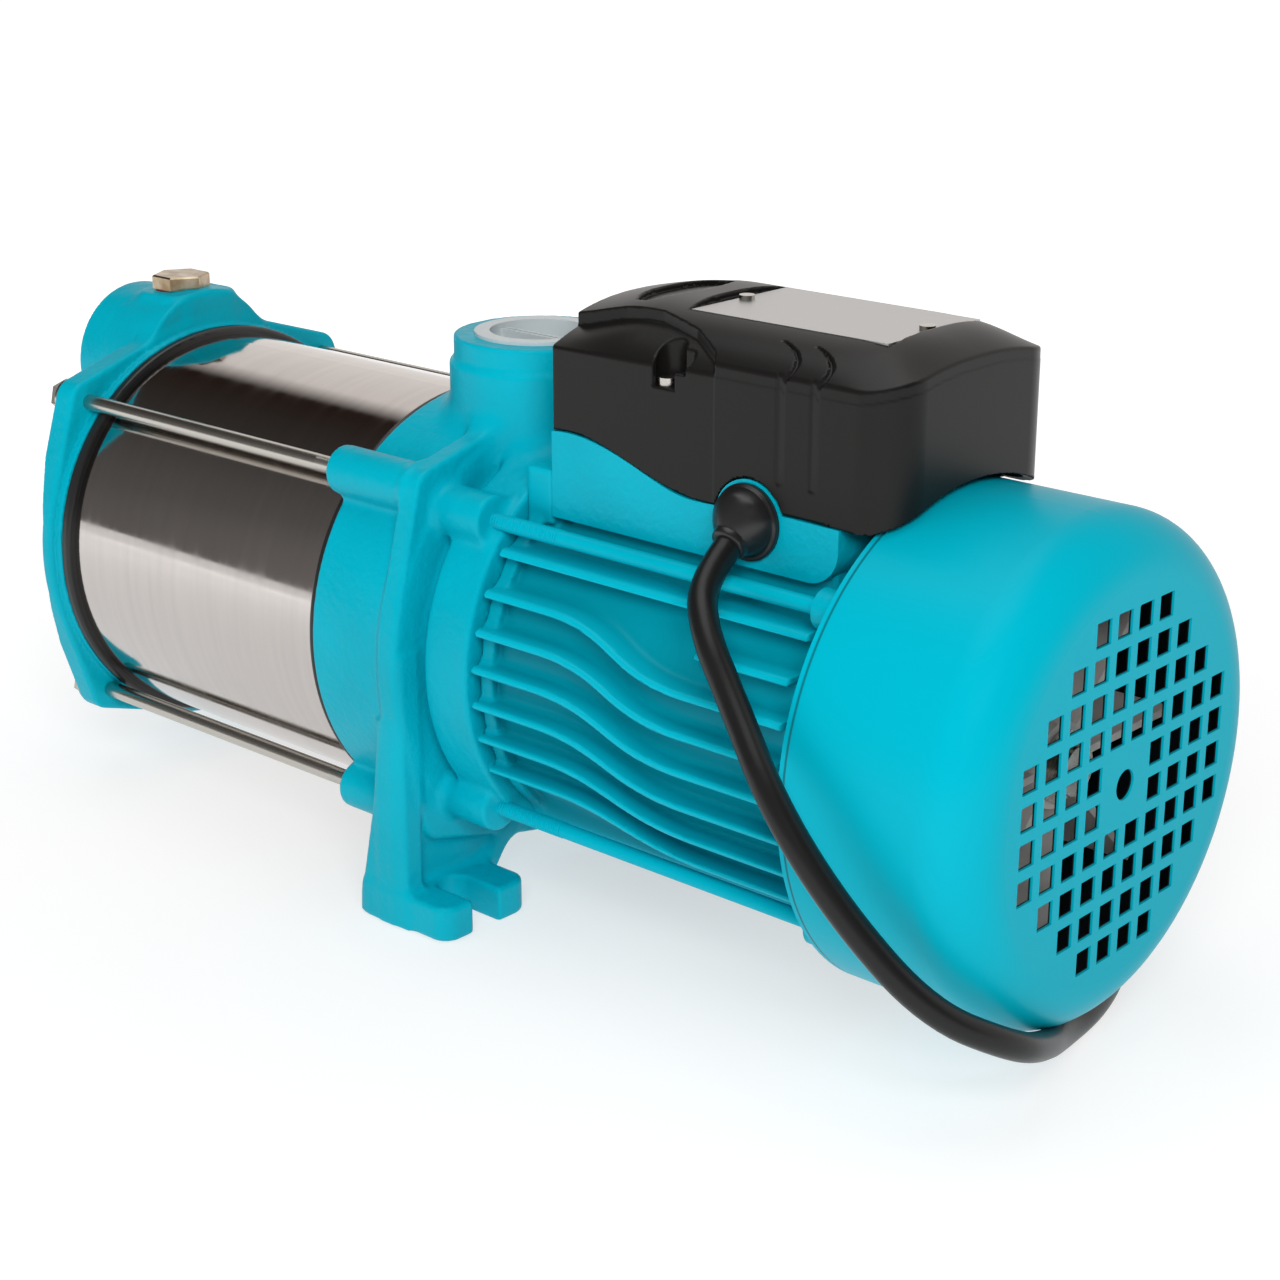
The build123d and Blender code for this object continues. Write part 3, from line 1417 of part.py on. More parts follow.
# Terminal block and its brass screws, and the run capacitor, on the floor of the base.
with BuildPart() as terminal_block:
    with BuildSketch(level(floor_top)):
        with Locations((block_x, block_y)):
            Rectangle(block_length, block_width)
    extrude(amount=block_height)
    with BuildSketch(level(floor_top + block_height)):
        with Locations((block_x, block_y)):
            with GridLocations(block_pitch, 0, 3, 1):
                Circle(block_screw_radius + seat_gap)
    extrude(amount=-block_height / 2, mode=Mode.SUBTRACT)
terminal_block.part.label = "terminal_block"
export_step(terminal_block.part, "parts/terminal_block.step")

with BuildPart() as terminal_screws:
    with BuildSketch(level(floor_top + block_height)):
        with Locations((block_x, block_y)):
            with GridLocations(block_pitch, 0, 3, 1):
                Circle(block_screw_radius)
    extrude(amount=-block_screw_length)
    with BuildSketch(level(floor_top + block_height)):
        with Locations((block_x, block_y)):
            with GridLocations(block_pitch, 0, 3, 1):
                Circle(block_screw_radius + block_screw_flange)
    extrude(amount=block_screw_head)
terminal_screws.part.label = "terminal_screws"
export_step(terminal_screws.part, "parts/terminal_screws.step")

with BuildPart() as run_capacitor:
    with BuildSketch(Plane.YZ.offset(capacitor_start)):
        with Locations((capacitor_y, shaft_height + floor_top + capacitor_radius)):
            Circle(capacitor_radius)
    extrude(amount=capacitor_length)
run_capacitor.part.label = "run_capacitor"
export_step(run_capacitor.part, "parts/run_capacitor.step")

# Cable gland: a black rubber dome in the wall of the base, with a short tapered sleeve that
# points outwards and down, the way the cord leaves it.
cord_start = Vector(cord_route[0][0], cord_route[0][1], cord_route[0][2] + shaft_height)
cord_heading = Vector(
    cord_route[1][0] - cord_route[0][0],
    cord_route[1][1] - cord_route[0][1],
    cord_route[1][2] - cord_route[0][2],
)
gland_centre = Vector(gland_x, -box_half_width, shaft_height + gland_rise)
gland_side = Plane(origin=gland_centre, x_dir=(0, -1, 0), z_dir=(-1, 0, 0))
gland_neck = gland_hole_radius - press_gap
gland_mouth = Plane(origin=cord_start, z_dir=cord_heading)
with BuildPart() as cable_gland:
    with BuildSketch(gland_side):
        with BuildLine():
            Line((-base_wall, 0), (-base_wall, gland_neck))
            Line((-base_wall, gland_neck), (0, gland_neck))
            Line((0, gland_neck), (0, gland_radius - gland_lip))
            Spline(
                (0, gland_radius - gland_lip),
                (gland_dome / 3, gland_radius),
                (gland_dome * 3 / 4, gland_radius - 1.6 * gland_lip),
                (gland_dome, 0),
                tangents=[(0.4, 1), (0, -1)],
            )
            Line((gland_dome, 0), (-base_wall, 0))
        make_face()
    revolve(axis=Axis(gland_centre, (0, -1, 0)))
    with BuildSketch(gland_mouth.offset(gland_sleeve_start)):
        Circle(gland_sleeve_radius)
    extrude(amount=gland_length - gland_sleeve_start, taper=gland_taper)
    with BuildSketch(gland_mouth):
        Circle(cord_radius)
    extrude(amount=gland_length + 1.0, mode=Mode.SUBTRACT)
cable_gland.part.label = "cable_gland"
export_step(cable_gland.part, "parts/cable_gland.step")

# Power cord: the stretch between the gland and the coil, straight runs joined by arcs.
cord_points = [Vector(x, y, rise + shaft_height) for x, y, rise in cord_route]
cord_bends = []
for before, corner, after in zip(cord_points, cord_points[1:], cord_points[2:]):
    shorter = min((corner - before).length, (after - corner).length)
    half_turn = math.radians((corner - before).get_angle(after - corner)) / 2
    cord_bends.append(cord_bend_share * shorter / math.tan(half_turn))
with BuildPart() as power_cord:
    with BuildLine() as cord_line:
        FilletPolyline(*cord_points, radius=cord_bends)
    with BuildSketch(gland_mouth):
        Circle(cord_radius)
    sweep()
cord_length = cord_line.wires()[0].length
cord_volume = math.pi * cord_radius**2 * cord_length
print("cord length", round(cord_length, 1))
print("volume share", round(power_cord.part.volume / cord_volume, 4))
power_cord.part.label = "power_cord"
export_step(power_cord.part, "parts/power_cord.step")

# The rest of the cord, laid in a flat coil on the floor.
with BuildPart() as cord_coil:
    with BuildSketch(Plane.XY):
        with Locations((coil_x, coil_y)):
            Circle(coil_mean_radius + coil_section / 2)
            Circle(coil_mean_radius - coil_section / 2, mode=Mode.SUBTRACT)
    extrude(amount=coil_section)
cord_coil.part.label = "cord_coil"
export_step(cord_coil.part, "parts/cord_coil.step")

# Mains plug: a moulded round body with a tapered strain relief, and two round pins.
with BuildPart() as mains_plug:
    with BuildSketch(Plane.XZ.offset(-relief_start)):
        with Locations((plug_axis_x, coil_section - cord_radius)):
            Circle(relief_start_radius)
    with BuildSketch(Plane.XZ.offset(-relief_end)):
        with Locations((plug_axis_x, plug_radius)):
            Circle(relief_end_radius)
    loft()
    with BuildSketch(Plane.XZ.offset(-relief_end)):
        with Locations((plug_axis_x, plug_radius)):
            Circle(relief_end_radius)
    with BuildSketch(Plane.XZ.offset(-plug_shoulder)):
        with Locations((plug_axis_x, plug_radius)):
            Circle(plug_radius)
    loft()
    with BuildSketch(Plane.XZ.offset(-plug_shoulder)):
        with Locations((plug_axis_x, plug_radius)):
            Circle(plug_radius)
    extrude(amount=plug_shoulder - plug_face)
mains_plug.part.label = "mains_plug"
export_step(mains_plug.part, "parts/mains_plug.step")

with BuildPart() as plug_pins:
    with BuildSketch(Plane.XZ.offset(-plug_face)):
        with Locations((plug_axis_x, plug_radius)):
            with GridLocations(pin_pitch, 0, 2, 1):
                Circle(pin_radius)
    extrude(amount=-pin_length)
plug_pins.part.label = "plug_pins"
export_step(plug_pins.part, "parts/plug_pins.step")
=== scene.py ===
import json
import math

import bpy
import numpy as np
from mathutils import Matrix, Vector


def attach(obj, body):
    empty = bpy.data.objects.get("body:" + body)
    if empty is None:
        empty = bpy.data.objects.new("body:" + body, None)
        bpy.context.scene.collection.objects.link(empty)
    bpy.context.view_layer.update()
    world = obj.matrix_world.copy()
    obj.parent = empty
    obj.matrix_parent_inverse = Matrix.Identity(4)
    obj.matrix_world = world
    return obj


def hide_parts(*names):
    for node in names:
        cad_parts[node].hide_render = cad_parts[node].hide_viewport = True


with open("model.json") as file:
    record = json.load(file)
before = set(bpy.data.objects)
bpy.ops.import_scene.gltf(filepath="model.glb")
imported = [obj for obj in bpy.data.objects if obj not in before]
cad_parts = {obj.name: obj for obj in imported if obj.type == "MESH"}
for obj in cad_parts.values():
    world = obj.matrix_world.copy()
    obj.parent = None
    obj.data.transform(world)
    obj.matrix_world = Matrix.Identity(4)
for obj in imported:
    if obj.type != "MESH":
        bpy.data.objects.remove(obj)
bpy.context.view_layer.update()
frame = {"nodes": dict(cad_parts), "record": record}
nodes = frame["nodes"]

# Sizes shared by several pieces, in millimetres unless a line says otherwise. X runs along
# the shaft, Z is up, and the shaft's axis lies at AXIS above the feet.
MM = 0.001
AXIS = 82.5
TIE_OFFSET = 50.6  # of each tie bolt from the shaft's axis, in Y and in Z
STUD_OFFSET = 44.5  # of each motor stud, likewise
PORT_RADIUS = 15.145  # inside the thread of the inlet and of the outlet
FIN_CREST = 62.2  # radius over the wavy fins of the motor frame
FIN_PITCH = 10.8
COVER_SIDE = 36.5  # half the width of the terminal box cover
COVER_START, COVER_END = 35.0, 154.0  # its two ends along X
GLAND_X, GLAND_Z = 107.0, 59.6  # where the cord enters the terminal box
SHARP_ANGLE = math.radians(32)

# Studio. A pale floor, a camera at the height of a person crouching beside the bench, three
# soft lights, and a white surround that also shows in the polished steel.
scene = bpy.context.scene
scene.view_settings.view_transform = "Standard"
scene.view_settings.look = "None"
scene.view_settings.exposure = 0.0

camera_data = bpy.data.cameras.new("camera")
camera_data.sensor_width = 36.0
camera_data.lens = 69.24
camera_data.clip_start = 0.05
camera_data.clip_end = 50.0
camera = bpy.data.objects.new("camera", camera_data)
scene.collection.objects.link(camera)
eye = Vector((0.50385, -0.52094, 0.32647))
aim = Vector((0.0357, 0.0, 0.08295))
camera.location = eye
camera.rotation_mode = "QUATERNION"
camera.rotation_quaternion = (aim - eye).to_track_quat("-Z", "Y")
scene.camera = camera


def area_light(name, place, size, watts, in_reflections=True):
    """A rectangular soft light at a place in metres, turned to face the pump."""
    data = bpy.data.lights.new(name, "AREA")
    data.shape = "RECTANGLE"
    data.size, data.size_y = size
    data.energy = watts
    lamp = bpy.data.objects.new(name, data)
    lamp.location = place
    lamp.rotation_mode = "QUATERNION"
    lamp.rotation_quaternion = (Vector((0.0, 0.0, 0.1)) - Vector(place)).to_track_quat("-Z", "Y")
    lamp.visible_glossy = in_reflections
    scene.collection.objects.link(lamp)


area_light("front light", (0.85, -0.85, 0.82), (0.7, 0.5), 14.1, False)
area_light("left light", (-0.75, -1.15, 0.22), (0.9, 0.3), 4.0, False)
area_light("top light", (-0.10, -0.10, 1.25), (1.2, 0.8), 6.0)

world = bpy.data.worlds.new("surround")
scene.world = world
world.use_nodes = True
sky = world.node_tree
sky.nodes.clear()
rays = sky.nodes.new("ShaderNodeLightPath")
direction = sky.nodes.new("ShaderNodeTexCoord")
direction_axes = sky.nodes.new("ShaderNodeSeparateXYZ")
walls = sky.nodes.new("ShaderNodeValToRGB")
front_end, back_end = walls.color_ramp.elements[0], walls.color_ramp.elements[1]
front_end.position, front_end.color = 0.08, (0.30, 0.285, 0.275, 1.0)
back_end.position, back_end.color = 0.70, (0.95, 0.91, 0.88, 1.0)
for stop_at, stop_colour in (
    (0.22, (0.13, 0.125, 0.12, 1.0)),
    (0.42, (0.05, 0.046, 0.044, 1.0)),
    (0.63, (0.024, 0.014, 0.010, 1.0)),
):
    walls.color_ramp.elements.new(stop_at).color = stop_colour
halves = sky.nodes.new("ShaderNodeMath")
halves.operation = "MULTIPLY_ADD"
halves.inputs[1].default_value = 0.5
halves.inputs[2].default_value = 0.5
sky.links.new(direction.outputs["Generated"], direction_axes.inputs[0])
sky.links.new(direction_axes.outputs["Y"], halves.inputs[0])
sky.links.new(halves.outputs[0], walls.inputs[0])
room, mirrored, backdrop = (sky.nodes.new("ShaderNodeBackground") for _ in range(3))
room_grey = 0.03
for background, brightness in ((room, room_grey), (mirrored, 1.0), (backdrop, 1.0)):
    background.inputs["Color"].default_value = (brightness, brightness, brightness, 1.0)
sky.links.new(walls.outputs[0], mirrored.inputs["Color"])
surround = room
for ray, background in (("Is Glossy Ray", mirrored), ("Is Camera Ray", backdrop)):
    choice = sky.nodes.new("ShaderNodeMixShader")
    sky.links.new(rays.outputs[ray], choice.inputs[0])
    sky.links.new(surround.outputs[0], choice.inputs[1])
    sky.links.new(background.outputs[0], choice.inputs[2])
    surround = choice
world_out = sky.nodes.new("ShaderNodeOutputWorld")
sky.links.new(surround.outputs[0], world_out.inputs["Surface"])

FLOOR_HALF = 6.0  # metres
FLOOR_DROP = 0.0003  # metres below the feet, so that the two faces never share a plane
floor_mesh = bpy.data.meshes.new("floor")
floor_signs = ((-1, -1), (1, -1), (1, 1), (-1, 1))
floor_corners = [(FLOOR_HALF * u, FLOOR_HALF * v, 0.0) for u, v in floor_signs]
floor_mesh.from_pydata(floor_corners, [], [(0, 1, 2, 3)])
floor = bpy.data.objects.new("floor", floor_mesh)
floor.location = (0.0, 0.0, -FLOOR_DROP)
scene.collection.objects.link(floor)


# Finishes. Each one is procedural: a principled surface whose colour, roughness and bump are
# worked from object coordinates.
class Value:
    """One value in a material's node tree. Arithmetic on it adds nodes to the tree."""

    def __init__(self, tree, socket):
        self.tree = tree
        self.socket = socket

    def node(self, kind, inputs=(), out=0, **settings):
        """Adds a node of a kind, sets and feeds it, and returns one of its outputs."""
        made = self.tree.nodes.new(kind)
        for key, value in settings.items():
            setattr(made, key, value)
        for key, value in dict(inputs).items():
            if isinstance(value, Value):
                self.tree.links.new(value.socket, made.inputs[key])
            else:
                made.inputs[key].default_value = value
        return Value(self.tree, made.outputs[out])

    def math(self, operation, other=0.0):
        """One step of arithmetic with another value or a number."""
        return self.node("ShaderNodeMath", {0: self, 1: other}, operation=operation)

    def __add__(self, other):
        return self.math("ADD", other)

    def __sub__(self, other):
        return self.math("SUBTRACT", other)

    def __mul__(self, other):
        return self.math("MULTIPLY", other)

    def __pow__(self, other):
        return self.math("POWER", other)

    def axis(self, number):
        """One coordinate of a place: 0 is X, 1 is Y, 2 is Z."""
        return self.node("ShaderNodeSeparateXYZ", {0: self}, number)

    def clamp(self, low, high):
        """The value rescaled from low..high to 0..1 and held there."""
        inputs = {0: self, 1: low, 2: high, 3: 0.0, 4: 1.0}
        return self.node("ShaderNodeMapRange", inputs, clamp=True)

    def noise(self, scale, detail=3.0, rough=0.5):
        """Noise over object coordinates, at a scale in features per metre."""
        inputs = {"Vector": self, "Scale": scale, "Detail": detail, "Roughness": rough}
        return self.node("ShaderNodeTexNoise", inputs)

    def mix(self, low, high):
        """A colour between two, the value being the share of the second."""
        made = self.tree.nodes.new("ShaderNodeMix")
        made.data_type = "RGBA"
        self.tree.links.new(self.socket, made.inputs[0])
        made.inputs[6].default_value = (*low, 1.0)
        made.inputs[7].default_value = (*high, 1.0)
        return Value(self.tree, made.outputs[2])

    def bump(self, distance, strength=1.0):
        """A normal from the value taken as a height, the distance being in metres."""
        inputs = {"Height": self, "Distance": distance, "Strength": strength}
        return self.node("ShaderNodeBump", inputs)


def finish(name, colour, roughness, metallic=0.0, **more):
    """A principled material. Colour may be a tuple, and any input may be a function of the
    object coordinates that returns a Value."""
    made = bpy.data.materials.new(name)
    made.use_nodes = True
    tree = made.node_tree
    shader = tree.nodes["Principled BSDF"]
    place = tree.nodes.new("ShaderNodeTexCoord")
    here = Value(tree, place.outputs["Object"])
    inputs = {"Base Color": colour, "Roughness": roughness, "Metallic": metallic}
    inputs.update(more)
    for key, value in inputs.items():
        if callable(value):
            tree.links.new(value(here).socket, shader.inputs[key])
        elif isinstance(value, tuple) and len(value) == 3:
            shader.inputs[key].default_value = (*value, 1.0)
        else:
            shader.inputs[key].default_value = value
    return made


TEAL = (0.0, 0.40, 0.52)
TEAL_DEEP = (0.0, 0.35, 0.46)
COVER_ROUND_X = 0.188  # metres: where the fan cover's rounded edge starts along X
COVER_ROUND_OUT = 0.0547  # metres: the centre of that rounding from the shaft's axis
COVER_SHADE_SKIN = 0.0152  # metres: the radius within its sheet inside which the teal gives way to a near-black painted shade
RIM_LINE = 0.1475  # metres: where the cover's rim is rolled, with a thin painted shade line along it

paint_smooth = finish(
    "teal paint on sheet steel",
    lambda p: p.noise(14.0).clamp(0.35, 0.65).mix(TEAL_DEEP, TEAL),
    0.36,
    Normal=lambda p: p.noise(900.0, 2.0).bump(0.00003, 0.5),
    **{"Specular IOR Level": 0.06},
)


def from_shaft(place):
    """The distance from the shaft's axis, in metres."""
    y, z = place.axis(1), place.axis(2) - AXIS * MM
    return (y * y + z * z) ** 0.5


def cover_colour_with_painted_shade(place):
    """Teal on the outside of the fan cover; inside it and in the holes a near-black painted
    shade for the unlit inside, and a thin painted shade line where the rim is rolled."""
    along = (place.axis(0) - COVER_ROUND_X).math("MAXIMUM", 0.0)
    out = (from_shaft(place) - COVER_ROUND_OUT).math("MAXIMUM", 0.0)
    # Within the skin, inside the cover and in its holes, the near-black colour is a painted
    # shade for the unlit inside.
    outside = ((along * along + out * out) ** 0.5).clamp(COVER_SHADE_SKIN, COVER_SHADE_SKIN + 0.0002)
    # A thin painted shade line along the rolled rim.
    off_shaded_rim_line = (place.axis(0) - RIM_LINE).math("ABSOLUTE").clamp(0.0002, 0.0005) * 0.6 + 0.4
    return (outside * off_shaded_rim_line).mix((0.006, 0.008, 0.01), TEAL)


def cover_normal(place):
    """A small step at the rolled rim and a faint grain."""
    step = place.axis(0).clamp(RIM_LINE, RIM_LINE + 0.0006)
    return (step + place.noise(900.0, 2.0) * 0.05).bump(0.0003, 0.5)


# The fan cover's finish carries painted shade: near black inside and in the holes, and a dark
# line along the rolled rim.
paint_cover_with_shade = finish(
    "teal paint and painted shade on the fan cover",
    cover_colour_with_painted_shade,
    0.34,
    Normal=cover_normal,
    **{"Specular IOR Level": 0.06},
)
# The frame's teal darkens towards the barrel, to 58 percent at the fin roots: a painted shade
# between the fins and on the barrel, pad and tab below them.
paint_fins_with_root_shade = finish(
    "teal paint on the motor frame",
    lambda p: (from_shaft(p).clamp(0.053, 0.0615) * 0.42 + 0.58).mix((0.0, 0.0, 0.0), TEAL),
    0.36,
    Normal=lambda p: p.noise(300.0, 3.0).bump(0.0002, 0.5),
    **{"Specular IOR Level": 0.10},
)
paint_cast = finish(
    "teal paint on castings",
    lambda p: p.noise(30.0).clamp(0.3, 0.7).mix(TEAL_DEEP, TEAL),
    lambda p: p.noise(120.0).clamp(0.2, 0.8) * 0.14 + 0.30,
    Normal=lambda p: (p.noise(420.0, 3.0) + p.noise(150.0, 2.0)).bump(0.00045, 0.6),
    **{"Specular IOR Level": 0.10},
)


def rolled(place):
    """Coordinates squeezed across X, so that noise over them runs round the sleeve."""
    return place.node("ShaderNodeMapping", {"Vector": place, "Scale": (1.0, 0.06, 0.06)})


def steel_colour(place):
    """Steel with faint streaks from rolling, round the sleeve."""
    streaks = rolled(place).noise(260.0, 5.0).clamp(0.3, 0.7)
    return streaks.mix((0.51, 0.477, 0.458), (0.55, 0.513, 0.492))


steel_polished = finish(
    "polished stainless steel",
    steel_colour,
    lambda p: rolled(p).noise(160.0, 4.0).clamp(0.25, 0.75) * 0.10 + 0.05,
    1.0,
    Normal=lambda p: rolled(p).noise(220.0, 2.0).bump(0.00004, 0.5),
)
steel_zinc = finish("zinc-plated steel", (0.52, 0.50, 0.46), 0.27, 1.0)
plug_metal = finish(
    "nickel-plated brass",
    lambda p: p.noise(160.0).clamp(0.35, 0.65).mix((0.30, 0.21, 0.12), (0.56, 0.47, 0.34)),
    0.3,
    1.0,
)
brass = finish("brass", (0.50, 0.37, 0.17), 0.32, 1.0)
copper = finish("enamelled copper", (0.42, 0.13, 0.04), 0.35, 1.0)
black_plastic = finish(
    "black moulded plastic",
    (0.0072, 0.0068, 0.0064),
    0.34,
    Normal=lambda p: p.noise(1500.0, 2.0).bump(0.00004, 0.4),
    **{"Specular IOR Level": 0.22},
)
black_rubber = finish("black rubber", (0.011, 0.011, 0.011), 0.32)
cord_rubber = finish(
    "cord rubber",
    (0.008, 0.008, 0.008),
    0.36,
    Normal=lambda p: p.noise(700.0, 2.0).bump(0.00006, 0.5),
    **{"Specular IOR Level": 0.3},
)
plate_metal = finish("bare aluminium plate", (0.52, 0.52, 0.52), 0.4, 0.9)
fan_plastic = finish("grey fan plastic", (0.72, 0.70, 0.67), 0.5)
milky_plastic = finish("milky plastic", (0.62, 0.68, 0.70), 0.25, Alpha=0.85)
ceramic = finish("ceramic", (0.75, 0.73, 0.68), 0.2)
fibre = finish("red fibre", (0.12, 0.02, 0.012), 0.7)
core_sheet = finish("core sheet", (0.12, 0.12, 0.125), 0.5, 0.6)
white_plastic = finish("white moulded plastic", (0.6, 0.58, 0.52), 0.45)


def floor_glow(place):
    """Emission that grows with the distance from the pump, to fade the floor into white. The
    glow
    is painted light: it lights the pump from below, and where it is weaker, near the pump, it
    lays a painted soft shade.
    """
    return place.node("ShaderNodeVectorMath", {0: place}, 1, operation="LENGTH").clamp(-0.9, 0.7)


# The floor glows as painted light, dimmer near the pump.
glow_inputs = {"Emission Color": (1.0, 1.0, 1.0), "Emission Strength": floor_glow}
floor_glowing = finish("glowing white floor", (0.4, 0.4, 0.4), 0.9, **glow_inputs)
floor.data.materials.append(floor_glowing)

slot_finish = {
    "teal_iron": paint_cast,
    "teal_aluminium": paint_cast,
    "teal_steel": paint_smooth,
    "stainless": steel_polished,
    "seal_rubber": black_rubber,
    "zinc_steel": steel_zinc,
    "plug_brass": plug_metal,
    "washer_fibre": fibre,
    "shaft_steel": steel_zinc,
    "bearing_steel": steel_polished,
    "impeller_steel": steel_zinc,
    "diffuser_plastic": black_plastic,
    "seal_face": ceramic,
    "seal_steel": steel_zinc,
    "core_sheet": core_sheet,
    "copper_wire": copper,
    "fan_plastic": fan_plastic,
    "box_plastic": black_plastic,
    "plate_metal": plate_metal,
    "block_plastic": white_plastic,
    "terminal_brass": brass,
    "capacitor_case": white_plastic,
    "transit_plastic": milky_plastic,
    "cord_rubber": cord_rubber,
    "pin_brass": steel_polished,
}
for part in frame["record"]["subparts"]:
    node = nodes[part["node"]]
    node.data.materials.clear()
    node.data.materials.append(slot_finish[part["material_slot"]])
    node.data.shade_smooth()
    node.data.set_sharp_from_angle(angle=SHARP_ANGLE)
# The fan cover takes the paint with painted shade inside and at the rim.
nodes["fan_cover"].data.materials[0] = paint_cover_with_shade

# Castings. The iron head and bracket and the aluminium frame have no sharp corners, so their
# surfaces are worked as distance fields: simple bodies joined with soft fillets. Distances
# are in millimetres, and heights are taken from the shaft's axis.
def soft_join(a, b, width):
    """The union of two fields, with a fillet of about that width along their join."""
    share = np.clip(0.5 + 0.5 * (b - a) / width, 0.0, 1.0)
    return b + (a - b) * share - width * share * (1.0 - share)


def soft_cut(a, b, width):
    """The first field with the second cut out of it, and a rounded edge between them."""
    return -soft_join(-a, b, width)


def corner(a, b, edge):
    """The overlap of two fields, with its outer edge rounded to a radius."""
    a, b = a + edge, b + edge
    outside = np.hypot(np.maximum(a, 0.0), np.maximum(b, 0.0))
    return np.minimum(np.maximum(a, b), 0.0) + outside - edge


def between(value, low, high):
    """The distance outside a span of one coordinate, negative within it."""
    return np.abs(value - (low + high) / 2) - (high - low) / 2


def rod(along, low, high, radial, radius, edge=1.0):
    """A round bar with rounded end edges, from its axial coordinate and its radial one."""
    return corner(between(along, low, high), radial - radius, edge)


def polygon(u, v, points):
    """The signed distance to a closed outline in a plane."""
    squared = None
    sign = None
    for (au, av), (bu, bv) in zip(points, points[1:] + points[:1]):
        eu, ev = bu - au, bv - av
        wu, wv = u - au, v - av
        share = np.clip((wu * eu + wv * ev) / (eu * eu + ev * ev), 0.0, 1.0)
        away = (wu - eu * share) ** 2 + (wv - ev * share) ** 2
        above, below = v >= av, v < bv
        left = eu * wv > ev * wu
        flip = (above & below & left) | (~above & ~below & ~left)
        squared = away if squared is None else np.minimum(squared, away)
        sign = np.where(flip, -1.0, 1.0) * (1.0 if sign is None else sign)
    return sign * np.sqrt(squared)


def lugged_round(y, z, radius, lug_radius, lug_offset):
    """The outline of a disc stretched over four lugs on its diagonals."""
    reach = lug_offset * math.sqrt(2.0)
    along = (np.abs(y) + np.abs(z)) / math.sqrt(2.0)
    aside = np.abs(np.abs(y) - np.abs(z)) / math.sqrt(2.0)
    lean = (radius - lug_radius) / reach
    rise = math.sqrt(1.0 - lean * lean)
    turn_in = along * rise - aside * lean
    flank = aside * rise + along * lean - radius
    disc = np.hypot(aside, along) - radius
    lug = np.hypot(aside, along - reach) - lug_radius
    return np.where(turn_in < 0, disc, np.where(turn_in > rise * reach, lug, flank))


def at_lugs(y, z, offset):
    """The distance from the nearest of four axes at (offset, offset) on the diagonals."""
    return np.hypot(np.abs(y) - offset, np.abs(z) - offset)


def field_mesh(name, field, low, high, cell, finish_used):
    """A closed surface where field(x, y, z) crosses zero. The grid has one vertex in each
    cell that the surface crosses; each is then moved onto the surface along its gradient,
    and the gradient gives the shading."""
    axes = [np.arange(lo, hi + step, step) for lo, hi, step in zip(low, high, cell)]
    x, y, z = axes[0][:, None, None], axes[1][None, :, None], axes[2][None, None, :]
    value = np.broadcast_to(field(x, y, z), [len(a) for a in axes]).astype(np.float32)
    inside = value < 0
    shape = [n - 1 for n in value.shape]
    corners = [(i, j, k) for i in (0, 1) for j in (0, 1) for k in (0, 1)]

    def shifted(array, offset):
        """The values at one corner of every cell."""
        return array[tuple(slice(c, c + n) for c, n in zip(offset, shape))]

    full = sum(shifted(inside, c).astype(np.int8) for c in corners)
    crossed = (full > 0) & (full < 8)
    cell_index = np.argwhere(crossed)
    total = np.zeros((len(cell_index), 3))
    count = np.zeros(len(cell_index))
    for a in corners:
        for axis in range(3):
            if a[axis]:
                continue
            b = tuple(1 if n == axis else c for n, c in enumerate(a))
            va, vb = shifted(value, a)[crossed], shifted(value, b)[crossed]
            cut = (va < 0) != (vb < 0)
            share = np.where(cut, va / np.where(cut, va - vb, 1.0), 0.0)
            point = np.array(a, float)[None, :].repeat(len(share), 0)
            point[:, axis] += share
            total[cut] += point[cut]
            count[cut] += 1
    verts = np.array(low) + (cell_index + total / count[:, None]) * np.array(cell)
    number = np.full(shape, -1, np.int64)
    number[crossed] = np.arange(len(cell_index))
    quads = []
    for axis in range(3):
        u, v = (axis + 1) % 3, (axis + 2) % 3
        start = tuple(slice(1, -1) if n != axis else slice(None, -1) for n in range(3))
        stop = tuple(slice(1, -1) if n != axis else slice(1, None) for n in range(3))
        before, after = inside[start], inside[stop]
        change = np.argwhere(before != after)
        flip = after[tuple(change.T)]
        base = change.copy()
        base[:, u] += 1
        base[:, v] += 1
        around = []
        for du, dv in ((-1, -1), (0, -1), (0, 0), (-1, 0)):
            at = base.copy()
            at[:, u] += du
            at[:, v] += dv
            around.append(number[tuple(at.T)])
        quad = np.stack(around, 1)
        quad[flip] = quad[flip][:, ::-1]
        quads.append(quad)
    quads = np.concatenate(quads)

    def slope(p, step=0.02):
        """The field's gradient at points, by central differences."""
        out = np.empty_like(p)
        for n in range(3):
            more, less = p.copy(), p.copy()
            more[:, n] += step
            less[:, n] -= step
            out[:, n] = (field(*more.T) - field(*less.T)) / (2 * step)
        return out

    for _ in range(3):
        gradient = slope(verts)
        size = np.maximum((gradient**2).sum(1), 0.2)
        verts -= gradient * (np.clip(field(*verts.T), -1.0, 1.0) / size)[:, None]
    normal = slope(verts, 0.15)
    normal /= np.maximum(np.linalg.norm(normal, axis=1), 1e-6)[:, None]
    mesh = bpy.data.meshes.new(name)
    mesh.from_pydata((verts + (0.0, 0.0, AXIS)) * MM, [], quads)
    mesh.normals_split_custom_set_from_vertices(normal)
    mesh.materials.append(finish_used)
    made = bpy.data.objects.new(name, mesh)
    scene.collection.objects.link(made)
    return made


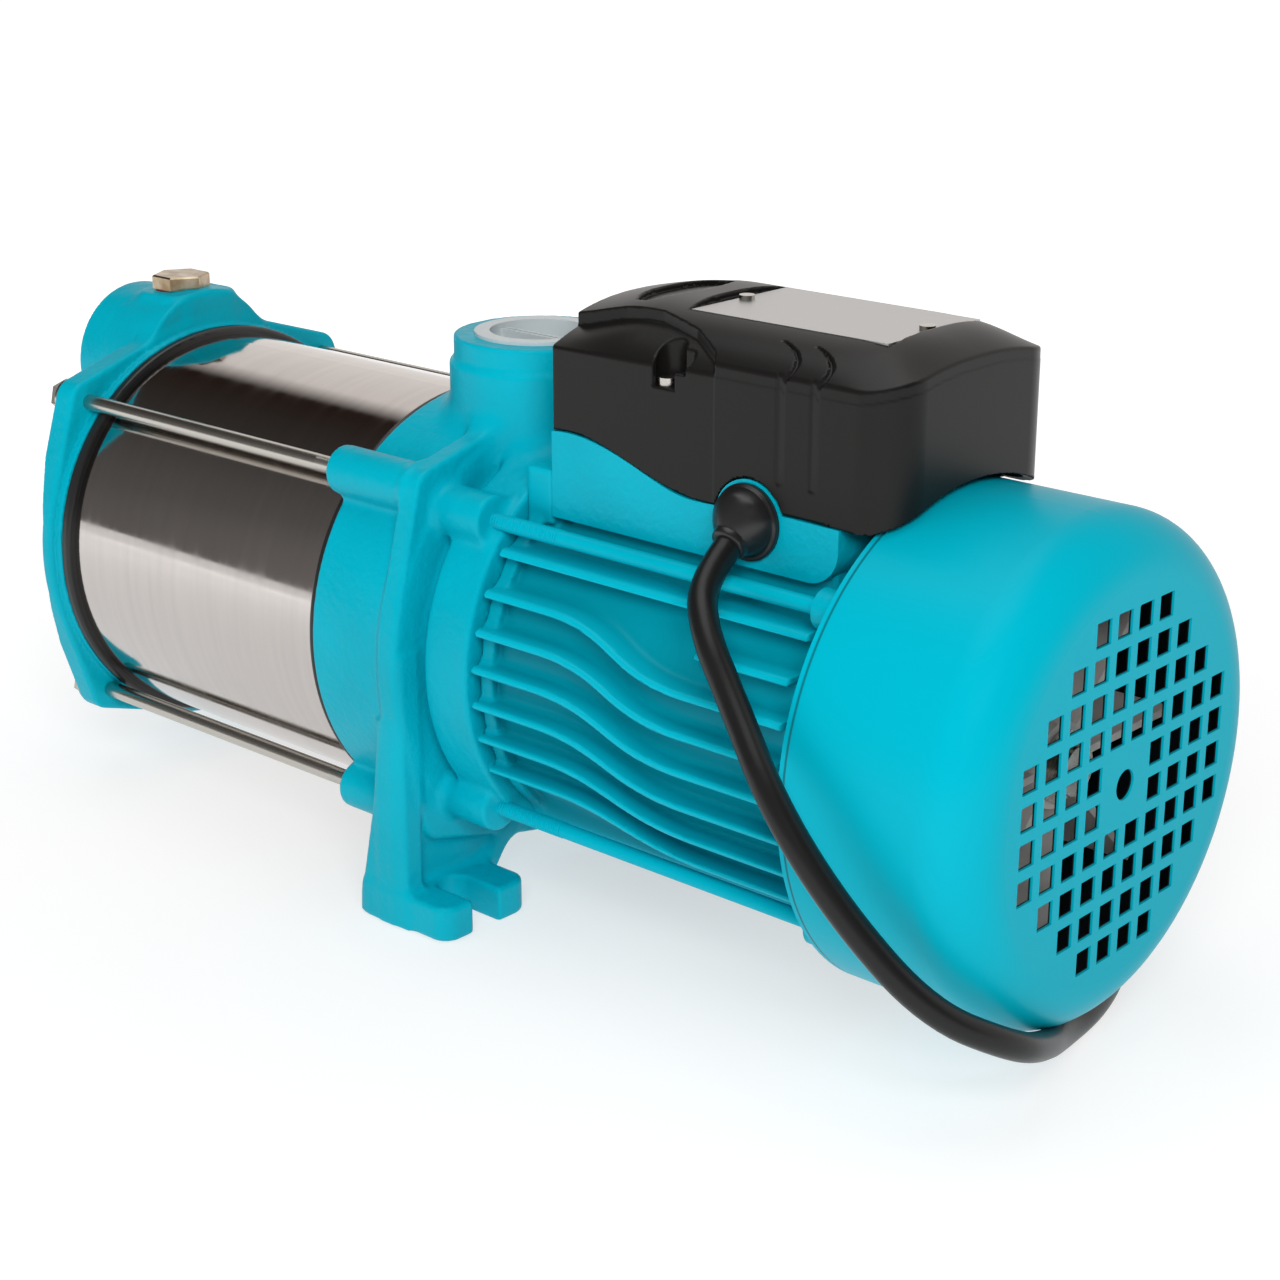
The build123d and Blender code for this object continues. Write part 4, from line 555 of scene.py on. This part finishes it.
def bracket_field(x, y, z):
    """Delivery casing, lugged plate, neck, drum, outlet boss, two legs and their feet."""
    casing_radius = 68.0
    outlet_x = -5.0
    lug_radius = 7.5
    leg_inner, leg_outer = 60.0, 67.5
    shaft_hole = 24.3
    r = np.hypot(y, z)
    side = np.abs(y)
    upright = np.hypot(x - outlet_x, y)
    body = rod(x, -36.0, 1.4, r, casing_radius, 1.6)
    body = soft_join(body, rod(x, -5.0, 12.0, r, 57.0), 2.0)
    body = soft_join(body, rod(x, 6.5, 24.0, r, 62.0, 1.4), 2.0)
    plate = corner(between(x, -5.6, 1.6), lugged_round(y, z, 69.2, lug_radius, TIE_OFFSET), 1.4)
    body = soft_join(body, plate, 2.5)
    lugs = rod(x, -38.0, -5.0, at_lugs(y, z, TIE_OFFSET), lug_radius, 1.2)
    body = soft_join(body, np.maximum(lugs, np.where(x < -34.0, 66.9 - r, -9.0)), 3.0)
    lugs = rod(x, -3.0, 20.0, at_lugs(y, z, STUD_OFFSET), lug_radius, 1.2)
    body = soft_join(body, lugs, 3.5)
    body = soft_join(body, rod(z, 20.0, 81.7, upright, 27.0, 1.6), 7.0)
    body = soft_join(body, rod(z, 60.0, 88.7, upright, 25.6, 0.7), 1.2)
    flange = [(-3.6, 4), (1.8, 4), (2.4, -AXIS), (-19, -AXIS)]
    flange += [(-18.6, -76), (-9.4, -33), (-5.6, -16)]
    leg = corner(polygon(x, z, flange), between(side, leg_inner, leg_outer), 1.6)
    body = soft_join(body, leg, 3.0)
    web = [(67, -AXIS), (67, -18), (20, -40), (12, -54), (33, -AXIS)]
    body = soft_join(body, corner(polygon(side, z, web), between(x, -9.0, -2.0), 1.2), 4.0)
    rib = [(12, -54), (33, -AXIS), (40, -AXIS), (19, -54)]
    body = soft_join(body, corner(polygon(side, z, rib), between(x, -12.0, 1.0), 1.5), 4.0)
    plan = corner(between(x, -19.0, 19.0), between(side, 32.0, leg_outer), 6.0)
    foot = corner(plan, between(z, -AXIS, -71.5), 1.5)
    slot_radius, slot_y = 5.5, 50.5
    slot = np.hypot(np.minimum(x - slot_radius, 0.0), side - slot_y) - slot_radius
    body = soft_join(body, soft_cut(foot, slot, 1.0), 3.5)
    body = np.maximum(body, -AXIS - z)
    body = np.maximum(body, -rod(z, 78.7, 100.0, upright, 16.7, 0.1))
    body = np.maximum(body, -rod(z, 50.0, 90.0, upright, PORT_RADIUS, 0.1))
    return np.maximum(body, shaft_hole - r)


def head_field(x, y, z):
    """Lugged flange, domed back, suction boss, filler pad and drain boss."""
    port_z, filler_x, drain_z = 53.0, -177.0, -46.0
    joint_face = -164.0
    tapped_radius = 6.4
    r = np.hypot(y, z)
    at_port = np.hypot(y, z - port_z)
    at_filler = np.hypot(x - filler_x, y)
    at_drain = np.hypot(y, z - drain_z)
    toward_lug = np.clip(((np.abs(y) + np.abs(z)) * 0.7071 - 58.0) / 10.0, 0.0, 1.0)
    flange = between(x, -169.0 - 4.5 * toward_lug, joint_face)
    body = corner(flange, lugged_round(y, z, 70.8, 7.2, TIE_OFFSET), 1.6)
    body = np.minimum(body, rod(x, -168.0, -161.6, r, 68.3, 0.3))
    dome = polygon(x, r, [(-167, -60), (-167, 66), (-171, 64), (-182, 46), (-182, -60)]) - 2.0
    body = soft_join(body, dome, 4.0)
    swell = 25.6 + 1.9 * np.clip((x + 192.0) / 20.0, 0.0, 1.0)
    body = soft_join(body, corner(between(x, -204.0, -164.1), at_port - swell, 1.3), 3.0)
    pad = corner(between(x, -189.0, -164.1), between(y, -12.0, 16.0), 7.0)
    body = soft_join(body, corner(pad, between(z, 50.0, 79.0), 1.6), 3.0)
    body = soft_join(body, rod(x, -192.0, -170.0, at_drain, 10.0, 1.0), 4.0)
    body = np.maximum(body, -rod(x, -230.0, -188.0, at_port, PORT_RADIUS, 0.1))
    body = np.maximum(body, -rod(x, -200.0, -170.0, at_port, 13.0, 0.1))
    body = np.maximum(body, -rod(z, 50.0, 90.0, at_filler, tapped_radius, 0.1))
    body = np.maximum(body, -rod(x, -200.0, -170.0, at_drain, tapped_radius, 0.1))
    return np.maximum(body, -rod(x, -170.0, -150.0, r, 58.6, 0.3))


# The side fins of the frame drop by one pitch along a smooth S between two stations.
wave_share = np.linspace(0.0, 1.0, 60)
wave_station = 50.0 + 55.0 * (1.5 * wave_share - 1.5 * wave_share**2 + wave_share**3)
wave_fall = FIN_PITCH * (3.0 * wave_share**2 - 2.0 * wave_share**3)
wave_slant = 1.0 / np.sqrt(1.0 + np.gradient(wave_fall, wave_station) ** 2)


def frame_field(x, y, z):
    """Barrel, front ring, wavy side fins, straight fins below, box pad and front tab."""
    frame_start, frame_end = 24.0, 139.0
    fin_start, fin_end = 26.0, 138.0
    fin_root = 45.0
    frame_bore = 51.5
    r = np.hypot(y, z)
    side = np.abs(y)
    ends = between(x, fin_start, frame_end)
    body = rod(x, frame_start, frame_end, r, 54.7, 1.0)
    body = soft_join(body, rod(x, 25.6, 30.4, r, 57.6, 0.5), 0.6)
    fall = np.interp(x, wave_station, wave_fall)
    slant = wave_slant[np.clip(np.searchsorted(wave_station, x), 0, len(wave_slant) - 1)]
    half = 1.0 + 0.05 * (FIN_CREST - r)
    crest = np.maximum(r - FIN_CREST, fin_root - r)
    span = between(x, fin_start, fin_end)
    top_fin = 37.4
    fins = corner(np.maximum(np.abs(z - top_fin) - half, span), crest, 0.8)
    for row in range(1, 7):
        sheet = np.abs(z - top_fin + FIN_PITCH * row + fall) * slant - half
        fins = np.minimum(fins, corner(np.maximum(sheet, span), crest, 0.8))
    short_fin = 26.6
    short = np.maximum(np.abs(z - short_fin) - half, between(x, 105.0, 137.0))
    fins = np.minimum(fins, corner(short, crest, 0.8))
    fins = np.maximum(fins, 20.0 - side)
    pitch = 10.0
    nearest = np.clip(np.round(y / pitch - 0.5) + 0.5, -3.5, 3.5) * pitch
    below = np.maximum(np.abs(y - nearest) - 1.1 - 0.04 * (60.0 + z), z + 40.0)
    below = corner(np.maximum(below, ends), np.maximum(r - 59.5, fin_root - r), 0.7)
    body = soft_join(body, np.minimum(fins, below), 2.0)
    pad = corner(between(x, 38.6, 133.4), between(side, -32.0, 32.0), 1.0)
    body = soft_join(body, np.maximum(pad, between(z, 42.0, 56.0)), 1.5)
    tab = corner(between(x, 24.0, 34.5), between(y, -36.0, 36.0), 1.5)
    body = soft_join(body, corner(tab, between(z, 44.0, 60.0), 1.0), 2.0)
    body = np.maximum(body, 2.9 - at_lugs(y, z, STUD_OFFSET))
    return np.maximum(body, frame_bore - r)


castings = (
    (
        "bracket_casting",
        (bracket_field, (-40.0, -72.0, -84.6), (26.0, 72.0, 91.0), (1.1, 1.1, 1.1), paint_cast),
        "bracket",
        "teal_iron",
    ),
    (
        "head_casting",
        (head_field, (-206.0, -74.0, -74.0), (-159.0, 74.0, 82.0), (1.0, 1.0, 1.0), paint_cast),
        "pump_head",
        "teal_iron",
    ),
    (
        "frame_casting",
        (frame_field, (22.0, -65.0, -65.0), (142.0, 65.0, 65.0), (1.3, 1.0, 0.9), paint_fins_with_root_shade),
        "motor_housing",
        "teal_aluminium",
    ),
)
for name, surface, node_name, slot_name in castings:
    casting = field_mesh(name, *surface)
    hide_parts(node_name)
    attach(casting, "pump_body")

# Terminal box cover. A deep moulded hood of black plastic: arched roof, a brow that steps
# down to a lower shelf by the screw pocket, two grooves, an oval recess and the recess of
# the rating plate. Both sides are alike.
lip_x = (35.0, 53.6, 68.5, 83.0, 97.0, 118.0, 137.0, 154.0)
lip_z = (72.3, 71.2, 66.7, 62.4, 62.3, 63.5, 63.3, 65.0)
lip_fit = np.polynomial.Polynomial.fit(lip_x, lip_z, 6)
brow_x = (30.0, 35.0, 52.0, 66.0, 82.0, 93.0, 95.5, 97.0)
brow_y = (26.0, 25.5, 23.6, 23.8, 28.4, 34.0, 37.5, 50.0)


def ease(value, low, high):
    """A smooth step from 0 at low to 1 at high."""
    share = np.clip((value - low) / (high - low), 0.0, 1.0)
    return share * share * (3.0 - 2.0 * share)


def cover_field(x, y, z):
    """The hood, hollow below, with every recess of its roof."""
    side = np.abs(y)
    eaves = 100.2
    share = np.minimum(side / COVER_SIDE, 1.1)
    crown = 107.3 + 3.5 * (1.0 - (1.0 - np.clip((x - COVER_START) / 27.0, 0.0, 1.0)) ** 2)
    crown = crown - 5.3 * np.clip((x - 137.0) / 17.0, 0.0, 1.1) ** 2
    power = 2.3 + 1.4 * ease(np.minimum(x - COVER_START, COVER_END - x), 0.0, 28.0)
    roof = crown - (crown - eaves) * share**power
    slope = (crown - eaves) * power * share ** (power - 1.0) / COVER_SIDE
    upright = 1.0 / np.sqrt(1.0 + slope**2)
    top = (z - roof) * upright
    wall = side - COVER_SIDE
    for station in (115.8, 126.8):
        across = (x - station) / 3.0
        dent = np.clip(across * 10.0, 0.0, 1.0) * np.clip(1.0 - across, 0.0, 1.0)
        wall = wall + 0.5 * dent * np.clip(z - 71.0, 0.0, 1.0)
        crescent = x - station - 3.9 + 0.2 * (side - 33.8) ** 2
        depth = 0.8 * np.clip(1.0 - crescent**2, 0.0, 1.0)
        top = top + depth * np.clip(2.0 * side - 54.0, 0.0, 1.0)
    square = corner(between(x, COVER_START, 120.0), wall, 1.5)
    plan = np.minimum(square, corner(between(x, 60.0, COVER_END), wall, 13.0))
    brow = (side - np.interp(x, brow_x, brow_y)) * 0.9
    shelf = 3.9 - 0.9 * np.clip((x - COVER_START) / 60.0, 0.0, 1.0)
    upper = corner(corner(top, plan, 0.6), brow, 0.3)
    lower = corner(top + shelf * upright, plan, 0.6)
    body = soft_join(upper, lower, 0.4)
    inside = np.maximum(top + 6.4, np.maximum(plan + 3.0, -z))
    body = np.maximum(body, -inside)
    screw_x, screw_y = 77.0, 31.0
    post = rod(z, 66.0, 120.0, np.hypot(x - screw_x, side - screw_y), 9.5, 0.2)
    body = np.minimum(body, np.maximum(np.maximum(post, lower), 45.0 - z))
    pocket = np.hypot(x - 76.6, side - 32.8) - 4.2
    pocket = np.minimum(pocket, np.maximum(between(x, 72.9, 80.6), 32.8 - side))
    hook = np.hypot(x - np.clip(x, 78.0, 83.0), side - 34.0) - 2.4
    pocket = np.minimum(np.maximum(pocket, 91.0 - z), np.maximum(hook, 95.5 - z))
    body = soft_cut(body, pocket, 0.5)
    body = np.maximum(body, -np.maximum(np.hypot(x - GLAND_X, z - GLAND_Z) - 11.8, y + 30.0))
    oval_half_x, oval_half_y = 7.6, 19.0
    oval = (np.hypot((x - 54.0) / oval_half_x, y / oval_half_y) - 1.0) * oval_half_x
    body = soft_cut(body, np.maximum(oval, (roof - 1.8) - z), 0.5)
    plate_left = 73.0 - 3.2 * np.clip(1.0 - (side / 20.8) ** 2, 0.0, 1.0) - 0.3
    recess = np.maximum(np.maximum(plate_left - x, x - 139.4), side - 20.9)
    body = soft_cut(body, np.maximum(recess, 108.85 - z), 0.3)
    body = np.maximum(body, lip_fit(x) - z)
    arch_start, arch_radius = 139.0, 72.5
    arch = np.where(x > arch_start, arch_radius - np.hypot(y, z), -9.0)
    return np.maximum(body, arch)


box_cover = field_mesh(
    "box_hood",
    cover_field,
    (33.5, -38.0, 60.5),
    (155.5, 38.0, 112.5),
    (0.7, 0.65, 0.6),
    black_plastic,
)
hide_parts("terminal_box_cover")
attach(box_cover, "pump_body")

# Gland. A black rubber cone pressed into the wall of the terminal box, with a rim against
# the wall and the cord coming out of its narrow end.
def gland_field(x, y, z):
    """A cone between two spheres along the cord's first stretch, cut flat at both ends."""
    away = (-0.866 * (y + 37.0) - 0.5 * (z - GLAND_Z)) / 7.5
    share = np.clip(away, 0.0, 1.0)
    centre_y, centre_z = -37.0 - 6.495 * share, GLAND_Z - 3.75 * share
    cone = np.sqrt((x - GLAND_X) ** 2 + (y - centre_y) ** 2 + (z - centre_z) ** 2)
    cone = corner((cone - 10.0 + 4.7 * share**1.7) * 0.9, 7.5 * away - 9.6, 0.7)
    rim = corner(between(y, -38.2, -35.0), np.hypot(x - GLAND_X, z - GLAND_Z) - 10.6, 0.7)
    return np.maximum(soft_join(cone, rim, 0.8), y + 36.0)


gland = field_mesh(
    "cord_gland",
    gland_field,
    (95.0, -51.0, 45.0),
    (119.0, -35.0, 72.0),
    (0.45, 0.45, 0.45),
    black_rubber,
)
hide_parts("cable_gland")
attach(gland, "pump_body")

# Sleeve seal. The edge of the rubber ring that shows as a black line between the polished
# sleeve and the bracket.
seal_line = field_mesh(
    "sleeve_seal_line",
    lambda x, y, z: np.hypot(np.hypot(y, z) - 66.6, x + 36.6) - 1.0,
    (-38.0, -68.0, -68.0),
    (-35.0, 68.0, 68.0),
    (0.5, 0.7, 0.7),
    black_rubber,
)
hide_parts("bracket_gasket")
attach(seal_line, "pump_body")

# Bolts. Four zinc-plated tie bolts from the head to the bracket, threaded where they enter
# its lugs, and four painted studs that clamp the motor, threaded near the bracket.
def turned(verts, faces, profile, y, z, sides, turn=0.0):
    """Adds a bar turned about an axis along X at y, z, from pairs of station and radius."""
    first = len(verts)
    for station, radius in profile:
        for side in range(sides):
            angle = turn + 2.0 * math.pi * side / sides
            verts.append((station, y + radius * math.cos(angle), z + radius * math.sin(angle)))
    for ring in range(len(profile) - 1):
        for side in range(sides):
            a, b = first + ring * sides + side, first + ring * sides + (side + 1) % sides
            faces.append((a, b, b + sides, a + sides))
    faces.append(tuple(range(first + sides - 1, first - 1, -1)))
    faces.append(tuple(range(len(verts) - sides, len(verts))))


def thread(start, end, radius, depth, pitch):
    """The profile of a threaded stretch, as pairs of station and radius."""
    count = int((end - start) / pitch)
    return [(start + pitch * (n / 2), radius - depth * (n % 2)) for n in range(2 * count + 1)]


for name, node_name, slot_name, offset, bars in (
    (
        "tie_bolt_set",
        "tie_bolts",
        "zinc_steel",
        TIE_OFFSET,
        (
            ([(-178.5, 4.9), (-178.0, 5.7), (-174.5, 5.7)], 6),
            ([(-174.5, 6.4), (-173.5, 6.4)], 40),
            ([(-173.5, 2.65), (-49.0, 2.65)] + thread(-48.5, -22.0, 2.6, 0.45, 1.0), 28),
        ),
    ),
    (
        "motor_stud_set",
        "motor_studs",
        "teal_steel",
        STUD_OFFSET,
        (
            (thread(6.0, 46.0, 2.45, 0.3, 1.0) + [(46.5, 2.3), (151.0, 2.3)], 24),
            ([(145.0, 4.6), (148.6, 4.6), (149.0, 4.1)], 6),
        ),
    ),
):
    verts, faces = [], []
    for y in (-offset, offset):
        for z in (-offset, offset):
            for profile, sides in bars:
                turned(verts, faces, profile, y, z, sides, 0.3)
    mesh = bpy.data.meshes.new(name)
    mesh.from_pydata((np.array(verts) + (0.0, 0.0, AXIS)) * MM, [], faces)
    mesh.materials.append(slot_finish[slot_name])
    mesh.shade_smooth()
    mesh.set_sharp_from_angle(angle=SHARP_ANGLE)
    bolts = bpy.data.objects.new(name, mesh)
    scene.collection.objects.link(bolts)
    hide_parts(node_name)
    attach(bolts, "pump_body")

# Power cord. One rubber cord from the gland, down past the fan cover, along the floor and
# into a flat coil of four turns behind the motor, and out of the coil to the plug.
CORD_RADIUS = 0.004
route = [
    (0.1070, -0.0382, 0.1411),
    (0.1070, -0.0555, 0.1311),
    (0.1195, -0.0690, 0.1225),
    (0.1334, -0.0739, 0.1084),
    (0.1563, -0.0851, 0.0893),
    (0.1749, -0.0812, 0.0649),
    (0.1947, -0.0710, 0.0409),
    (0.2068, -0.0500, 0.0275),
    (0.2025, -0.0300, 0.0180),
    (0.1910, -0.0030, 0.0062),
    (0.1865, 0.0230, 0.0040),
    (0.1760, 0.0520, 0.0040),
    (0.1500, 0.0740, 0.0040),
    (0.1160, 0.0820, 0.0040),
]
coil_x, coil_y = 0.070, 0.130
coil_turns = 4
points_per_turn = 16
crossing = 0.15  # the share of a turn in which the cord passes from ring to ring
for step in range(coil_turns * points_per_turn + 5):
    # The first and last turns lie on the outer ring, the others inside it. The cord climbs to
    # the upper layer at the end of the second turn.
    angle = -math.pi / 2 - 2 * math.pi * step / points_per_turn
    turns_done = step / points_per_turn
    outer_ring = 1.0 if turns_done < 1 or turns_done >= 3 else 0.0
    if 1.0 - crossing < turns_done < 1.0:
        outer_ring = (1.0 - turns_done) / crossing
    if 3.0 - crossing < turns_done < 3.0:
        outer_ring = 1.0 - (3.0 - turns_done) / crossing
    upper_layer = min(1.0, max(0.0, (turns_done - 2.0 + crossing) / crossing))
    ring_radius = 0.040 + 2 * CORD_RADIUS * outer_ring
    height = CORD_RADIUS + 2 * CORD_RADIUS * upper_layer
    route.append(
        (
            coil_x + ring_radius * math.cos(angle),
            coil_y + ring_radius * math.sin(angle),
            height,
        )
    )
route.append((0.0215, 0.1450, 0.0121))
route.append((0.0220, 0.1560, 0.0130))
cord_data = bpy.data.curves.new("power cord", "CURVE")
cord_data.dimensions = "3D"
cord_data.bevel_depth = CORD_RADIUS
cord_data.bevel_resolution = 6
cord_data.resolution_u = 8
cord_data.use_fill_caps = True
cord_line = cord_data.splines.new("NURBS")
cord_line.points.add(len(route) - 1)
for point, spot in zip(cord_line.points, route):
    point.co = (*spot, 1.0)
cord_line.order_u = 3
cord_line.use_endpoint_u = True
power_cord = bpy.data.objects.new("mains_cord", cord_data)
scene.collection.objects.link(power_cord)
cord_data.materials.append(cord_rubber)
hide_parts("power_cord", "cord_coil")
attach(power_cord, "pump_body")
